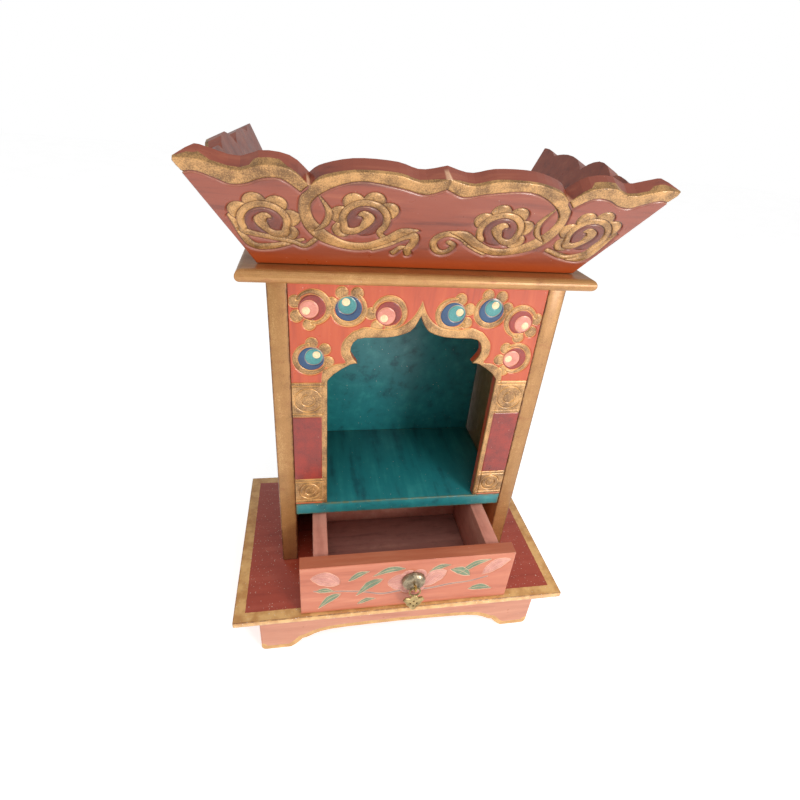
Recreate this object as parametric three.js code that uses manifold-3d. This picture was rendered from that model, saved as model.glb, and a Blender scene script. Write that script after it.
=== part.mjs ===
// Tabletop altar cabinet: bracket-footed base, body with an arched niche over a drawer, cornice and flared crown.
// Millimetres, +Z up, +Y to the back. The origin is on the floor, in the middle of the footprint.
import * as THREE from 'three';
import { mergeVertices } from 'three/addons/utils/BufferGeometryUtils.js';
import Module from 'manifold-3d';

const wasm = await Module();
wasm.setup();

// ---------------------------------------------------------------- driving dimensions
const GAP = 0.3; // left between pieces that touch

const BASE = { width: 353, depth: 221, thick: 7, middleY: 5.25 };
const APRON = { width: 306, height: 62, thick: 14, setback: 13.5 };
const CUTOUT = { toe: 31, kneeIn: 13, kneeUp: 13, stepIn: 5, stepUp: 1.5, shoulder: 0.75, shoulderUp: 24.5, rise: 27 };

const BODY = { width: 260, depth: 144, height: 324, sideThick: 16.4, backThick: 9.2, porch: 75 };
const SHELF = { under: 69.3, thick: 14.4 }; // heights above the base board
const PANEL = { thick: 9, grooveWidth: 1.8, grooveDepth: 1.1 };
const ARCH = { halfWidth: 81, spring: 148.5, cuspX: 54.4, cuspUp: 166, lobeX: 61, crown: 191.4, tip: 212.4, band: 8.2 };
const BLOCKS = { upperTop: 146.5, upperFoot: 109.5, lowerTop: 33.5, lowerFoot: 2, line: 4.6 }; // heights above the shelf
const JEWELS = [[28.8, 214], [63.4, 218], [93.7, 207.9], [95.2, 171]]; // from the middle, above the shelf

const CORNICE = { overhang: 22.2, frontOverhang: 10.7, thick: 11.1 };
const CROWN = {
  halfWidth: 136.7, backHalfWidth: 120, inset: 8.5, flare: 41.8, lean: 49.1, height: 76, thick: 14,
  grooveWidth: 2.2, grooveDepth: 1.2,
};

const DRAWER = {
  halfWidth: 109.5, height: 67.3, frontThick: 14.3, pulledOut: 71.8, lift: 1, grooveWidth: 1.4, grooveDepth: 0.9,
};
const BOX = { halfWidth: 96.5, sideThick: 14.9, depth: 116, backThick: 12, bottomThick: 5, bottomLift: 4, sideDrop: 1.5 };
const PULL = { x: 4, z: 39, radius: 12.3, thick: 5.4, petals: 8 }; // z above the base board
const EYE = { radius: 2.7, wire: 1, stem: 1.6 };
const DROP = { ring: 5.6, wire: 0.95, leafWidth: 22, leafHeight: 22, leafThick: 2.2 };

// ---------------------------------------------------------------- places worked out from them
const floorZ = APRON.height + BASE.thick; // top of the base board
const topZ = floorZ + BODY.height; // underside of the cornice
const crownZ = topZ + CORNICE.thick;
const baseFrontY = BASE.middleY - BASE.depth / 2;
const faceY = baseFrontY + BODY.porch; // front plane of the posts, panel and rail
const backY = faceY + BODY.depth;
const shelfTop = floorZ + SHELF.under + SHELF.thick;
const innerX = BODY.width / 2 - BODY.sideThick;
const drawerFaceY = faceY - DRAWER.pulledOut;

// ---------------------------------------------------------------- materials
const MATERIALS = {
  redLacquer: new THREE.MeshStandardMaterial({ color: 0xa8452c, roughness: 0.45, metalness: 0 }),
  terracotta: new THREE.MeshStandardMaterial({ color: 0xc2836a, roughness: 0.55, metalness: 0 }),
  bronzeGilt: new THREE.MeshStandardMaterial({ color: 0xb07c4c, roughness: 0.4, metalness: 0.3 }),
  varnished: new THREE.MeshStandardMaterial({ color: 0xa2552f, roughness: 0.35, metalness: 0 }),
  carvedFace: new THREE.MeshStandardMaterial({ color: 0xb8481c, roughness: 0.4, metalness: 0 }),
  teal: new THREE.MeshStandardMaterial({ color: 0x1c7379, roughness: 0.55, metalness: 0 }),
  rawWood: new THREE.MeshStandardMaterial({ color: 0xd79b87, roughness: 0.8, metalness: 0 }),
  salmon: new THREE.MeshStandardMaterial({ color: 0xc2765a, roughness: 0.5, metalness: 0 }),
  pewter: new THREE.MeshStandardMaterial({ color: 0x776c5c, roughness: 0.4, metalness: 0.9 }),
  brass: new THREE.MeshStandardMaterial({ color: 0xc8a040, roughness: 0.3, metalness: 1 }),
};

// ---------------------------------------------------------------- solids
/** Closed geometry to manifold solid. */
function solidOf(geometry) {
  const bare = geometry.clone();
  bare.deleteAttribute('normal');
  bare.deleteAttribute('uv');
  const merged = mergeVertices(bare, 1e-4);
  return new wasm.Manifold(new wasm.Mesh({
    numProp: 3,
    vertProperties: new Float32Array(merged.attributes.position.array),
    triVerts: new Uint32Array(merged.index.array),
  }));
}

/** Manifold solid back to a geometry. */
function geometryOf(solid) {
  const mesh = solid.getMesh();
  const geometry = new THREE.BufferGeometry();
  geometry.setAttribute('position', new THREE.BufferAttribute(new Float32Array(mesh.vertProperties), 3));
  geometry.setIndex(new THREE.BufferAttribute(new Uint32Array(mesh.triVerts), 1));
  geometry.computeVertexNormals();
  return geometry;
}

/** Box between two corners. */
function box(x0, x1, y0, y1, z0, z1) {
  const geometry = new THREE.BoxGeometry(x1 - x0, y1 - y0, z1 - z0);
  return geometry.translate((x0 + x1) / 2, (y0 + y1) / 2, (z0 + z1) / 2);
}

/** Outline in the plane (across, up) to a board whose face is at 0 and whose thickness runs behind it. */
function slab(outline, thick, steps = 4) {
  const geometry = new THREE.ExtrudeGeometry(outline, { depth: thick, bevelEnabled: false, curveSegments: steps });
  return geometry.translate(0, 0, -thick);
}

/** Stands a slab up: across is +X, up is +Z, and the face looks to the front (-Y). */
function standing(geometry, x, y, z) {
  return geometry.clone().rotateX(Math.PI / 2).translate(x, y, z);
}

/** Standing slab turned so that its face looks to a side: 1 for the right, -1 for the left. */
function facingSide(geometry, side, x, y, z) {
  return geometry.clone().rotateX(Math.PI / 2).rotateZ((side * Math.PI) / 2).translate(side * x, y, z);
}

/** Block that fills the side of a plane that the normal points to, past the reach of any board. */
function halfSpace(origin, normal) {
  const reach = 1200;
  const turn = new THREE.Quaternion().setFromUnitVectors(new THREE.Vector3(0, 0, 1), normal);
  const block = new THREE.BoxGeometry(reach, reach, reach).translate(0, 0, reach / 2).applyQuaternion(turn);
  return solidOf(block.translate(origin.x, origin.y, origin.z));
}

/** Mirror image of a point or direction, left for right. */
const reflected = (v) => new THREE.Vector3(-v.x, v.y, v.z);

/** Mirror image of a closed geometry, left for right, with its faces still pointing out. */
function mirroredX(geometry) {
  const twin = geometry.clone().scale(-1, 1, 1);
  twin.index.array.reverse();
  twin.computeVertexNormals();
  return twin;
}

// ---------------------------------------------------------------- curves of the carving, in the face's plane
const degrees = (angle) => (angle * Math.PI) / 180;
const point = (x, y) => new THREE.Vector2(x, y);
const mirrored = (line) => line.map((p) => point(-p.x, p.y));

/** Circular arc from one angle to the other, in degrees. */
function arc(x, y, radius, from, to, steps = 6) {
  return Array.from({ length: steps + 1 }, (_, i) => {
    const angle = degrees(from + ((to - from) * i) / steps);
    return point(x + radius * Math.cos(angle), y + radius * Math.sin(angle));
  });
}

/** Spiral whose radius runs evenly from one value to the other. */
function spiral(x, y, radius0, radius1, from, to, steps) {
  return Array.from({ length: steps + 1 }, (_, i) => {
    const t = i / steps;
    const angle = degrees(from + (to - from) * t);
    const radius = radius0 + (radius1 - radius0) * t;
    return point(x + radius * Math.cos(angle), y + radius * Math.sin(angle));
  });
}

/** Smooth line through a few points. */
function through(points, steps) {
  return new THREE.SplineCurve(points.map(([x, y]) => point(x, y))).getPoints(steps);
}

/** Round lobes side by side on an arc: the scalloped outer edge of a cloud. */
function lobes(x, y, radius, lobeRadius, from, to, count, steps) {
  const step = (to - from) / count;
  return Array.from({ length: count }, (_, i) => {
    const middle = from + step * (i + 0.5);
    const cx = x + radius * Math.cos(degrees(middle));
    const cy = y + radius * Math.sin(degrees(middle));
    const half = 96 * Math.sign(step);
    return arc(cx, cy, lobeRadius, middle - half, middle + half, steps);
  });
}

/** V-shaped cutter along a line in the plane of the face: wide above the face, a keel below it. */
function groove(line, width, depth, closed = false) {
  const lift = 0.6;
  const half = ((width / 2) * (depth + lift)) / depth;
  const count = line.length;
  const positions = [];
  for (let i = 0; i < count; i += 1) {
    const before = closed ? line[(i + count - 1) % count] : line[Math.max(i - 1, 0)];
    const after = closed ? line[(i + 1) % count] : line[Math.min(i + 1, count - 1)];
    const along = after.clone().sub(before).normalize();
    const side = point(-along.y, along.x).multiplyScalar(half);
    positions.push(line[i].x + side.x, line[i].y + side.y, lift);
    positions.push(line[i].x - side.x, line[i].y - side.y, lift);
    positions.push(line[i].x, line[i].y, -depth);
  }
  const faces = [];
  for (let i = 0; i < (closed ? count : count - 1); i += 1) {
    const a = i * 3;
    const b = ((i + 1) % count) * 3;
    for (const [p, q] of [[0, 1], [1, 2], [2, 0]]) {
      faces.push(a + p, b + q, b + p);
      faces.push(a + p, a + q, b + q);
    }
  }
  if (!closed) {
    const end = (count - 1) * 3;
    faces.push(0, 2, 1);
    faces.push(end, end + 1, end + 2);
  }
  const geometry = new THREE.BufferGeometry();
  geometry.setAttribute('position', new THREE.Float32BufferAttribute(positions, 3));
  geometry.setIndex(faces);
  return geometry;
}

/** Slab with grooves cut in its face. */
function carved(board, cutters) {
  const tools = wasm.Manifold.union(cutters.map(solidOf));
  return geometryOf(solidOf(board).subtract(tools));
}

// ---------------------------------------------------------------- base frame
/** Right half of a cut-out's edge, from the middle of the board down to the inside of a foot. */
function cutoutHalf(halfLength, toe) {
  const toeX = halfLength - toe;
  const kneeX = toeX - CUTOUT.kneeIn;
  const stepX = kneeX - CUTOUT.stepIn;
  const stepZ = CUTOUT.kneeUp + CUTOUT.stepUp;
  const rise = through([[0, CUTOUT.rise], [stepX * CUTOUT.shoulder, CUTOUT.shoulderUp], [stepX, stepZ]], 8);
  const knee = through([[kneeX, CUTOUT.kneeUp], [(kneeX + toeX) / 2, CUTOUT.kneeUp * 0.4], [toeX, 0]], 5);
  return [...rise, ...knee];
}

/** Apron board: straight top, rounded outer toes and a shaped cut-out between the feet. */
function apron(length, toe, toeRadius) {
  const half = length / 2;
  const toeRound = arc(half - toeRadius, toeRadius, toeRadius, -90, 0, 4);
  const edge = [...cutoutHalf(half, toe), ...toeRound, point(half, APRON.height - GAP)];
  const outline = new THREE.Shape([...edge, ...mirrored(edge.slice(1)).reverse()]);
  return slab(outline, APRON.thick);
}

function makeAprons() {
  const frontY = baseFrontY + APRON.setback;
  const rearY = 2 * BASE.middleY - frontY;
  const long = apron(APRON.width, CUTOUT.toe, 5);
  const short = apron(rearY - frontY - 2 * (APRON.thick + GAP), CUTOUT.toe - APRON.thick, 1);
  const sideX = APRON.width / 2;
  return {
    apron_front: standing(long, 0, frontY, 0),
    apron_back: standing(long, 0, rearY - APRON.thick, 0),
    apron_left: facingSide(short, -1, sideX, BASE.middleY, 0),
    apron_right: facingSide(short, 1, sideX, BASE.middleY, 0),
  };
}

function makeBaseBoard() {
  const half = BASE.width / 2;
  return box(-half, half, baseFrontY, baseFrontY + BASE.depth, APRON.height, floorZ);
}

// ---------------------------------------------------------------- body
function makeSideBoard(side) {
  const middle = (side * (BODY.width / 2 + innerX)) / 2;
  const half = BODY.sideThick / 2;
  return box(middle - half, middle + half, faceY, backY, floorZ + GAP, topZ - GAP);
}

function makeBackPanel() {
  const half = innerX - GAP;
  return box(-half, half, backY - BODY.backThick, backY, floorZ + GAP, topZ - GAP);
}

function makeNicheFloor() {
  const half = innerX - GAP;
  return box(-half, half, faceY, backY - BODY.backThick - GAP, shelfTop - SHELF.thick, shelfTop);
}

/** Right half of the arch: shoulder, cusp, round lobe and ogee tip, above the shelf. */
function archHalf() {
  const { halfWidth, spring, cuspX, cuspUp, lobeX, crown, tip } = ARCH;
  const shoulder = [[halfWidth, spring], [halfWidth - 6, spring + 7], [halfWidth - 20, cuspUp - 1], [cuspX, cuspUp]];
  const lobe = [[cuspX, cuspUp], [lobeX, cuspUp + 12], [lobeX - 6, crown - 1.5], [lobeX - 26, crown]];
  const ogee = [[lobeX - 26, crown], [lobeX - 40, crown + 1.5], [7, crown + 7.5], [0, tip]];
  return [...through(shoulder, 6), ...through(lobe, 9).slice(1), ...through(ogee, 8).slice(1)];
}

/** Right half of the line that bounds the gilt band round the arch. */
function archBandHalf() {
  const { halfWidth, spring, cuspX, cuspUp, lobeX, crown, tip, band } = ARCH;
  const elbowX = cuspX + band + 2.4;
  const shoulder = [[halfWidth + band * 0.7, spring + 3], [halfWidth - 1, spring + 11], [elbowX, cuspUp + 1.2]];
  const lobe = [[elbowX, cuspUp + 1.2], [lobeX + band, crown - 10], [lobeX - 1, crown + 5], [lobeX - 13, crown + 9.8]];
  const ogee = [[lobeX - 13, crown + 9.8], [lobeX - 25, crown + 8.4], [20, crown + 9.5], [6.5, tip - 1], [0, tip + 13]];
  return [...through(shoulder, 5), ...through(lobe, 8).slice(1), ...through(ogee, 9).slice(1)];
}

/** Painted jewel's setting: a ring with cloud lobes on its outer side. */
function jewelLines(x, z, side) {
  const facing = side > 0 ? 40 : 140;
  return [
    arc(x, z, 8, 20, 350, 8),
    ...lobes(x, z, 8.6, 4.4, facing - 80, facing + 80, 3, 3),
  ];
}

/** Square block between ruled lines, with a round scroll. */
function blockLines(x, foot, top) {
  const middle = (foot + top) / 2;
  const scroll = (top - foot) / 2 - BLOCKS.line;
  const half = (innerX - ARCH.halfWidth) / 2;
  const ruled = [foot + BLOCKS.line, top - BLOCKS.line, top].map((z) => [point(x - half, z), point(x + half, z)]);
  return [...ruled, arc(x, middle, scroll * 0.85, 20, 340, 7), spiral(x, middle, scroll * 0.55, 2, 100, 400, 5)];
}

function panelLines() {
  const blockX = (innerX + ARCH.halfWidth) / 2;
  const lines = [archBandHalf(), mirrored(archBandHalf())];
  for (const side of [-1, 1]) {
    JEWELS.forEach(([x, z]) => lines.push(...jewelLines(side * x, z, side)));
    lines.push(...blockLines(side * blockX, BLOCKS.upperFoot, BLOCKS.upperTop));
    lines.push(...blockLines(side * blockX, BLOCKS.lowerFoot, BLOCKS.lowerTop));
  }
  return lines;
}

function makeFacePanel() {
  const half = innerX - GAP;
  const top = topZ - shelfTop - GAP;
  const jamb = [point(ARCH.halfWidth, GAP), ...archHalf()];
  const rightSide = [point(half, top), point(half, GAP), ...jamb];
  const outline = new THREE.Shape([...rightSide, ...mirrored(rightSide.slice(0, -1)).reverse()]);
  const cutters = panelLines().map((line) => groove(line, PANEL.grooveWidth, PANEL.grooveDepth));
  return standing(carved(slab(outline, PANEL.thick), cutters), 0, faceY, shelfTop);
}

// ---------------------------------------------------------------- cornice and crown
/** Flat moulding with a half-round nose on its front and sides, cut off flush with the back. */
function makeCornice() {
  const thick = CORNICE.thick - GAP;
  const flat = 0.4;
  const nose = (thick - flat) / 2;
  const half = BODY.width / 2 + CORNICE.overhang - nose;
  const front = faceY - CORNICE.frontOverhang + nose;
  const past = backY + 2 * nose;
  const plan = new THREE.Shape([point(-half, front), point(half, front), point(half, past), point(-half, past)]);
  const moulding = new THREE.ExtrudeGeometry(plan, {
    depth: flat, bevelThickness: nose, bevelSize: nose, bevelSegments: 5,
  }).translate(0, 0, topZ + nose);
  const behind = halfSpace(new THREE.Vector3(0, backY, 0), new THREE.Vector3(0, -1, 0));
  return geometryOf(solidOf(moulding).intersect(behind));
}

/** Bottom and top corner of the right-hand mitre between the crown's front and side boards. */
const mitreFoot = new THREE.Vector3(CROWN.halfWidth, faceY + CROWN.inset, crownZ);
const mitreTip = mitreFoot.clone().add(new THREE.Vector3(CROWN.flare, -CROWN.lean, CROWN.height));

/** Frame on the face of a leaning board: along its foot, up its face and out of its face. */
function faceFrame(origin, along, upwards) {
  const across = along.clone().normalize();
  const up = upwards.clone().addScaledVector(across, -upwards.dot(across)).normalize();
  const out = across.clone().cross(up);
  return { origin, out, matrix: new THREE.Matrix4().makeBasis(across, up, out).setPosition(origin) };
}

const frontFrame = faceFrame(
  new THREE.Vector3(0, mitreFoot.y, crownZ),
  new THREE.Vector3(1, 0, 0),
  mitreTip.clone().sub(mitreFoot),
);
const sideFrame = faceFrame(
  mitreFoot,
  new THREE.Vector3(CROWN.backHalfWidth, backY, crownZ).sub(mitreFoot),
  mitreTip.clone().sub(mitreFoot),
);
const mitreNormal = frontFrame.out.clone().sub(sideFrame.out).normalize();

/** Scalloped top of the crown's front, right half: crest, broad lobe, notch, lobe and corner. */
function crownTopHalf() {
  const broad = through([[0, 89.3], [18, 84.8], [36, 89.5], [64, 89.8], [86, 83.5], [94.5, 76.5]], 18);
  const corner = through([[94.5, 76.5], [106, 88], [124, 90.7], [141, 85], [164, 91.8], [182, 91.3]], 14);
  return [...broad, ...corner.slice(1)];
}

/** Cloud motif: five lobes round a spiral that ends in a comma. */
function cloudLines(x, z, side) {
  const from = side > 0 ? -35 : 215;
  const comma = spiral(x, z, 13.5, 4, from - side * 10, from + side * 330, 8);
  return [...lobes(x, z, 17.5, 6.6, from, from + side * 215, 5, 3), comma];
}

function crownFrontLines() {
  const loopBand = [
    [0, 79.7], [14, 74.2], [32, 78.3], [57, 82], [73, 78.3], [86.5, 69.7], [93.5, 58], [90, 44], [78, 33], [64, 26.5],
    [50, 27], [36, 33], [24, 43],
  ];
  const loopEdge = [[95, 74], [101, 66], [102, 50], [97, 36], [86, 25], [68, 18.5], [52, 18], [36, 25], [22, 35], [12, 41]];
  const cornerBand = [[100.5, 70], [109, 77.5], [126, 79], [141, 73.5], [155, 77.5], [173.5, 81.6]];
  const ribbon = [[142, 38], [133, 23], [112, 15.4], [96, 26]];
  const half = [through(loopBand, 18), through(loopEdge, 11), through(cornerBand, 7), through(ribbon, 5)];
  const clouds = [
    ...cloudLines(53, 46.5, 1), ...cloudLines(-53, 49, -1), ...cloudLines(131, 43, 1), ...cloudLines(-119.5, 39.4, -1),
  ];
  return [...half, ...half.map(mirrored), ...clouds, spiral(13, 32, 7, 2.5, 0, 300, 5), spiral(-15, 36, 7, 2.5, 180, -120, 5)];
}

function makeCrownFront() {
  const reach = CROWN.halfWidth + CROWN.flare + 3;
  const below = -CROWN.thick;
  const edge = [point(reach, below), ...crownTopHalf().reverse()];
  const outline = new THREE.Shape([...edge, ...mirrored(edge.slice(0, -1)).reverse()]);
  const cutters = crownFrontLines().map((line) => groove(line, CROWN.grooveWidth, CROWN.grooveDepth));
  const board = carved(slab(outline, CROWN.thick), cutters).applyMatrix4(frontFrame.matrix);
  const inner = mitreFoot.clone().addScaledVector(mitreNormal, GAP / 2);
  const rightMitre = halfSpace(inner, mitreNormal);
  const leftMitre = halfSpace(reflected(inner), reflected(mitreNormal));
  return geometryOf(solidOf(board).intersect(rightMitre).intersect(leftMitre).intersect(aboveCornice()));
}

function aboveCornice() {
  return halfSpace(new THREE.Vector3(0, 0, crownZ), new THREE.Vector3(0, 0, 1));
}

/** Scalloped top of a crown side board from the corner to the high peak at the back. */
function crownSideTop() {
  const corner = through([[-62, 83.9], [-40, 83.5], [-20, 77], [-6, 81], [6, 83], [12, 80]], 10);
  const first = through([[12, 80], [24, 88.5], [38, 91], [50, 87], [57, 81]], 8);
  const second = through([[57, 81], [70, 89.5], [88, 92], [102, 90.5], [109, 88.5]], 8);
  const peak = through([[109, 88.5], [118, 93], [131, 94.5], [148, 92]], 6);
  return [...corner, ...first.slice(1), ...second.slice(1), ...peak.slice(1)];
}

function crownSideLines() {
  const band = through([[-38, 75], [-20, 68], [-4, 72], [12, 70], [36, 82], [57, 72], [86, 83], [109, 79], [128, 84]], 12);
  const ribbon = through([[-8, 20], [12, 10], [40, 14], [62, 30], [86, 12], [112, 18], [126, 40]], 10);
  return [band, ribbon, ...cloudLines(22, 42, 1), ...cloudLines(96, 46, -1)];
}

function makeCrownRight() {
  const top = crownSideTop();
  const below = -CROWN.thick;
  const outline = new THREE.Shape([point(top[0].x, below), point(top[top.length - 1].x, below), ...top.reverse()]);
  const cutters = crownSideLines().map((line) => groove(line, CROWN.grooveWidth, CROWN.grooveDepth));
  const board = carved(slab(outline, CROWN.thick), cutters).applyMatrix4(sideFrame.matrix);
  const inner = mitreFoot.clone().addScaledVector(mitreNormal, -GAP / 2);
  const mitre = halfSpace(inner, mitreNormal.clone().negate());
  const back = halfSpace(new THREE.Vector3(0, backY, 0), new THREE.Vector3(0, -1, 0));
  return geometryOf(solidOf(board).intersect(mitre).intersect(back).intersect(aboveCornice()));
}

// ---------------------------------------------------------------- drawer
/** Pointed leaf or bud from stalk to tip: an outline and, for a leaf, a rib. */
function leafLines(x0, z0, x1, z1, width, ribbed = true) {
  const stalk = point(x0, z0);
  const tip = point(x1, z1);
  const along = tip.clone().sub(stalk);
  const across = point(-along.y, along.x).normalize();
  const flank = (side) => through([[x0, z0], ...[0.3, 0.65].map((t) => {
    const p = stalk.clone().addScaledVector(along, t).addScaledVector(across, side * width * (0.62 - 0.25 * t));
    return [p.x, p.y];
  }), [x1, z1]], 3);
  const rib = [stalk.clone().addScaledVector(along, 0.1), stalk.clone().addScaledVector(along, 0.8)];
  return ribbed ? [flank(1), flank(-1), rib] : [flank(1), flank(-1)];
}

/** Vine with lotus buds, an open flower behind the pull and leaves, heights above the drawer's foot. */
function drawerLines() {
  const vine = through([[-96, 33], [-70, 30], [-50, 27], [-28, 21], [-8, 23], [20, 23], [44, 27], [66, 29], [84, 34]], 10);
  const buds = [[-72, 41, -99, 52, 19], [5, 30, -22, 36, 24], [16, 28, 38, 48, 18], [78, 38, 106, 58, 15]];
  const leaves = [
    [-70, 26, -92, 6, 9], [-28, 43, -54, 21, 10], [-6, 56, -38, 48, 8], [64, 38, 42, 49, 11], [20, 48, 42, 56, 7],
    [-94, 32, -76, 30, 7], [66, 16, 92, 14, 9], [-62, 44, -42, 56, 7], [-52, 8, -34, 14, 6], [52, 42, 84, 60, 8],
  ];
  return [vine, ...buds.flatMap((bud) => leafLines(...bud, false)), ...leaves.flatMap((leaf) => leafLines(...leaf))];
}

function makeDrawerFront() {
  const { halfWidth, height, frontThick, lift } = DRAWER;
  const outline = new THREE.Shape([
    point(-halfWidth, 0), point(halfWidth, 0), point(halfWidth, height), point(-halfWidth, height),
  ]);
  const cutters = drawerLines().map((line) => groove(line, DRAWER.grooveWidth, DRAWER.grooveDepth));
  return standing(carved(slab(outline, frontThick), cutters), 0, drawerFaceY, floorZ + lift);
}

/** The four boards behind the drawer's front, and the thin bottom that sits between them. */
function makeDrawerBox() {
  const front = drawerFaceY + DRAWER.frontThick + GAP;
  const back = front + BOX.depth;
  const foot = floorZ + DRAWER.lift;
  const top = foot + DRAWER.height - BOX.sideDrop;
  const inner = BOX.halfWidth - BOX.sideThick;
  const between = inner - GAP;
  const backFace = back - BOX.backThick;
  const bottom = foot + BOX.bottomLift;
  return {
    drawer_side_left: box(-BOX.halfWidth, -inner, front, back, foot, top),
    drawer_side_right: box(inner, BOX.halfWidth, front, back, foot, top),
    drawer_back: box(-between, between, backFace, back, foot, top),
    drawer_bottom: box(-between, between, front, backFace - GAP, bottom, bottom + BOX.bottomThick),
  };
}

// ---------------------------------------------------------------- drop pull
const pullFaceY = drawerFaceY - GAP;
const eyeY = pullFaceY - PULL.thick - EYE.stem - EYE.radius;
const pivot = new THREE.Vector3(PULL.x, eyeY, floorZ + PULL.z);

/** Domed rosette with a petalled rim, flat behind. */
function makeRosette() {
  const rim = Array.from({ length: PULL.petals }, (_, i) => {
    const middle = (360 / PULL.petals) * i;
    return [-18, -7, 7, 18].map((angle) => {
      const radius = PULL.radius * (Math.abs(angle) > 10 ? 0.955 : 1);
      return point(radius * Math.cos(degrees(middle + angle)), radius * Math.sin(degrees(middle + angle)));
    });
  }).flat();
  const dome = PULL.thick * 0.8;
  const pillow = new THREE.ExtrudeGeometry(new THREE.Shape(rim.map((p) => p.multiplyScalar(0.5))), {
    depth: PULL.thick - dome, bevelThickness: dome, bevelSize: PULL.radius * 0.5, bevelSegments: 3,
  });
  const inFront = halfSpace(new THREE.Vector3(), new THREE.Vector3(0, 0, 1));
  return geometryOf(solidOf(pillow).intersect(inFront)).rotateX(Math.PI / 2).translate(PULL.x, pullFaceY, floorZ + PULL.z);
}

/** Wire staple that holds the drop: a ring across the face on a short shank. */
function makeEye() {
  const ring = new THREE.TorusGeometry(EYE.radius, EYE.wire, 6, 14).rotateY(Math.PI / 2);
  const shankStart = EYE.radius - EYE.wire / 2;
  const shankEnd = EYE.radius + EYE.stem - GAP;
  const shank = new THREE.CylinderGeometry(EYE.wire * 0.9, EYE.wire * 0.9, shankEnd - shankStart, 6);
  shank.translate(0, (shankStart + shankEnd) / 2, 0);
  return geometryOf(solidOf(ring).add(solidOf(shank))).translate(pivot.x, pivot.y, pivot.z);
}

/** Right half of the pierced leaf, from its neck under the ring down to the tip. */
function dropLeafHalf() {
  const wing = DROP.leafWidth / 2;
  const height = DROP.leafHeight;
  return [
    point(0, 0.6), point(2.4, 0), point(4.4, -height * 0.16), point(wing * 0.78, -height * 0.12),
    point(wing, -height * 0.3), point(wing * 0.74, -height * 0.48), point(wing * 0.62, -height * 0.66),
    point(wing * 0.36, -height * 0.76), point(wing * 0.22, -height * 0.92), point(0, -height),
  ];
}

/** Ring through the eye with a pierced leaf cast on below it. */
function makeDrop() {
  const ring = new THREE.TorusGeometry(DROP.ring, DROP.wire, 6, 18).translate(0, -DROP.ring, 0);
  const right = dropLeafHalf();
  const outline = new THREE.Shape([...right, ...mirrored(right.slice(1, -1)).reverse()].reverse());
  const bevel = 0.5;
  const leaf = new THREE.ExtrudeGeometry(outline, {
    depth: DROP.leafThick - 2 * bevel, bevelThickness: bevel, bevelSize: bevel, bevelOffset: -bevel, bevelSegments: 1,
  }).translate(0, -2 * DROP.ring, bevel - DROP.leafThick / 2);
  let solid = solidOf(ring).add(solidOf(leaf));
  for (const [x, down] of [[0, 0.34], [-3.4, 0.5], [3.4, 0.5], [0, 0.68]]) {
    const hole = new THREE.CylinderGeometry(1.1, 1.1, DROP.leafThick * 2, 6).rotateX(Math.PI / 2);
    solid = solid.subtract(solidOf(hole.translate(x, -2 * DROP.ring - down * DROP.leafHeight, 0)));
  }
  return geometryOf(solid).rotateX(Math.PI / 2);
}

// ---------------------------------------------------------------- assembly
function named(name, geometry, material) {
  const mesh = new THREE.Mesh(geometry, material);
  mesh.name = name;
  return mesh;
}

function makeCabinet() {
  const cabinet = new THREE.Group();
  for (const [name, geometry] of Object.entries(makeAprons())) {
    cabinet.add(named(name, geometry, MATERIALS.terracotta));
  }
  const right = makeCrownRight();
  cabinet.add(
    named('base_board', makeBaseBoard(), MATERIALS.redLacquer),
    named('side_board_left', makeSideBoard(-1), MATERIALS.bronzeGilt),
    named('side_board_right', makeSideBoard(1), MATERIALS.bronzeGilt),
    named('back_panel', makeBackPanel(), MATERIALS.teal),
    named('niche_floor', makeNicheFloor(), MATERIALS.teal),
    named('face_panel', makeFacePanel(), MATERIALS.carvedFace),
    named('cornice', makeCornice(), MATERIALS.bronzeGilt),
    named('crown_front', makeCrownFront(), MATERIALS.varnished),
    named('crown_left', mirroredX(right), MATERIALS.varnished),
    named('crown_right', right, MATERIALS.varnished),
  );
  return cabinet;
}

function makeDrawer() {
  const drawer = new THREE.Group();
  for (const [name, geometry] of Object.entries(makeDrawerBox())) {
    drawer.add(named(name, geometry, MATERIALS.rawWood));
  }
  const drop = named('pull_drop', makeDrop(), MATERIALS.pewter);
  drop.position.copy(pivot);
  drawer.add(
    named('drawer_front', makeDrawerFront(), MATERIALS.salmon),
    named('pull_rosette', makeRosette(), MATERIALS.pewter),
    named('pull_eye', makeEye(), MATERIALS.brass),
    drop,
  );
  return drawer;
}

const group = new THREE.Group();
group.add(makeCabinet(), makeDrawer());

export default group;
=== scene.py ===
"""Tabletop altar cabinet: carved and painted boards, a niche, a drawer with a drop pull, on a bracket-footed base.

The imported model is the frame. Boards with carving are rebuilt with fine relief and painted fields, plain boards get
worn edges, and every surface gets a finish of its own. Carving is laid out in millimetres on each board's face.
"""
import logging
import math
from dataclasses import dataclass, field
from enum import Enum
from typing import Iterable, Sequence

import bmesh
import bpy
import numpy as np
from mathutils import Matrix, Vector
from mathutils.geometry import delaunay_2d_cdt


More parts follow.
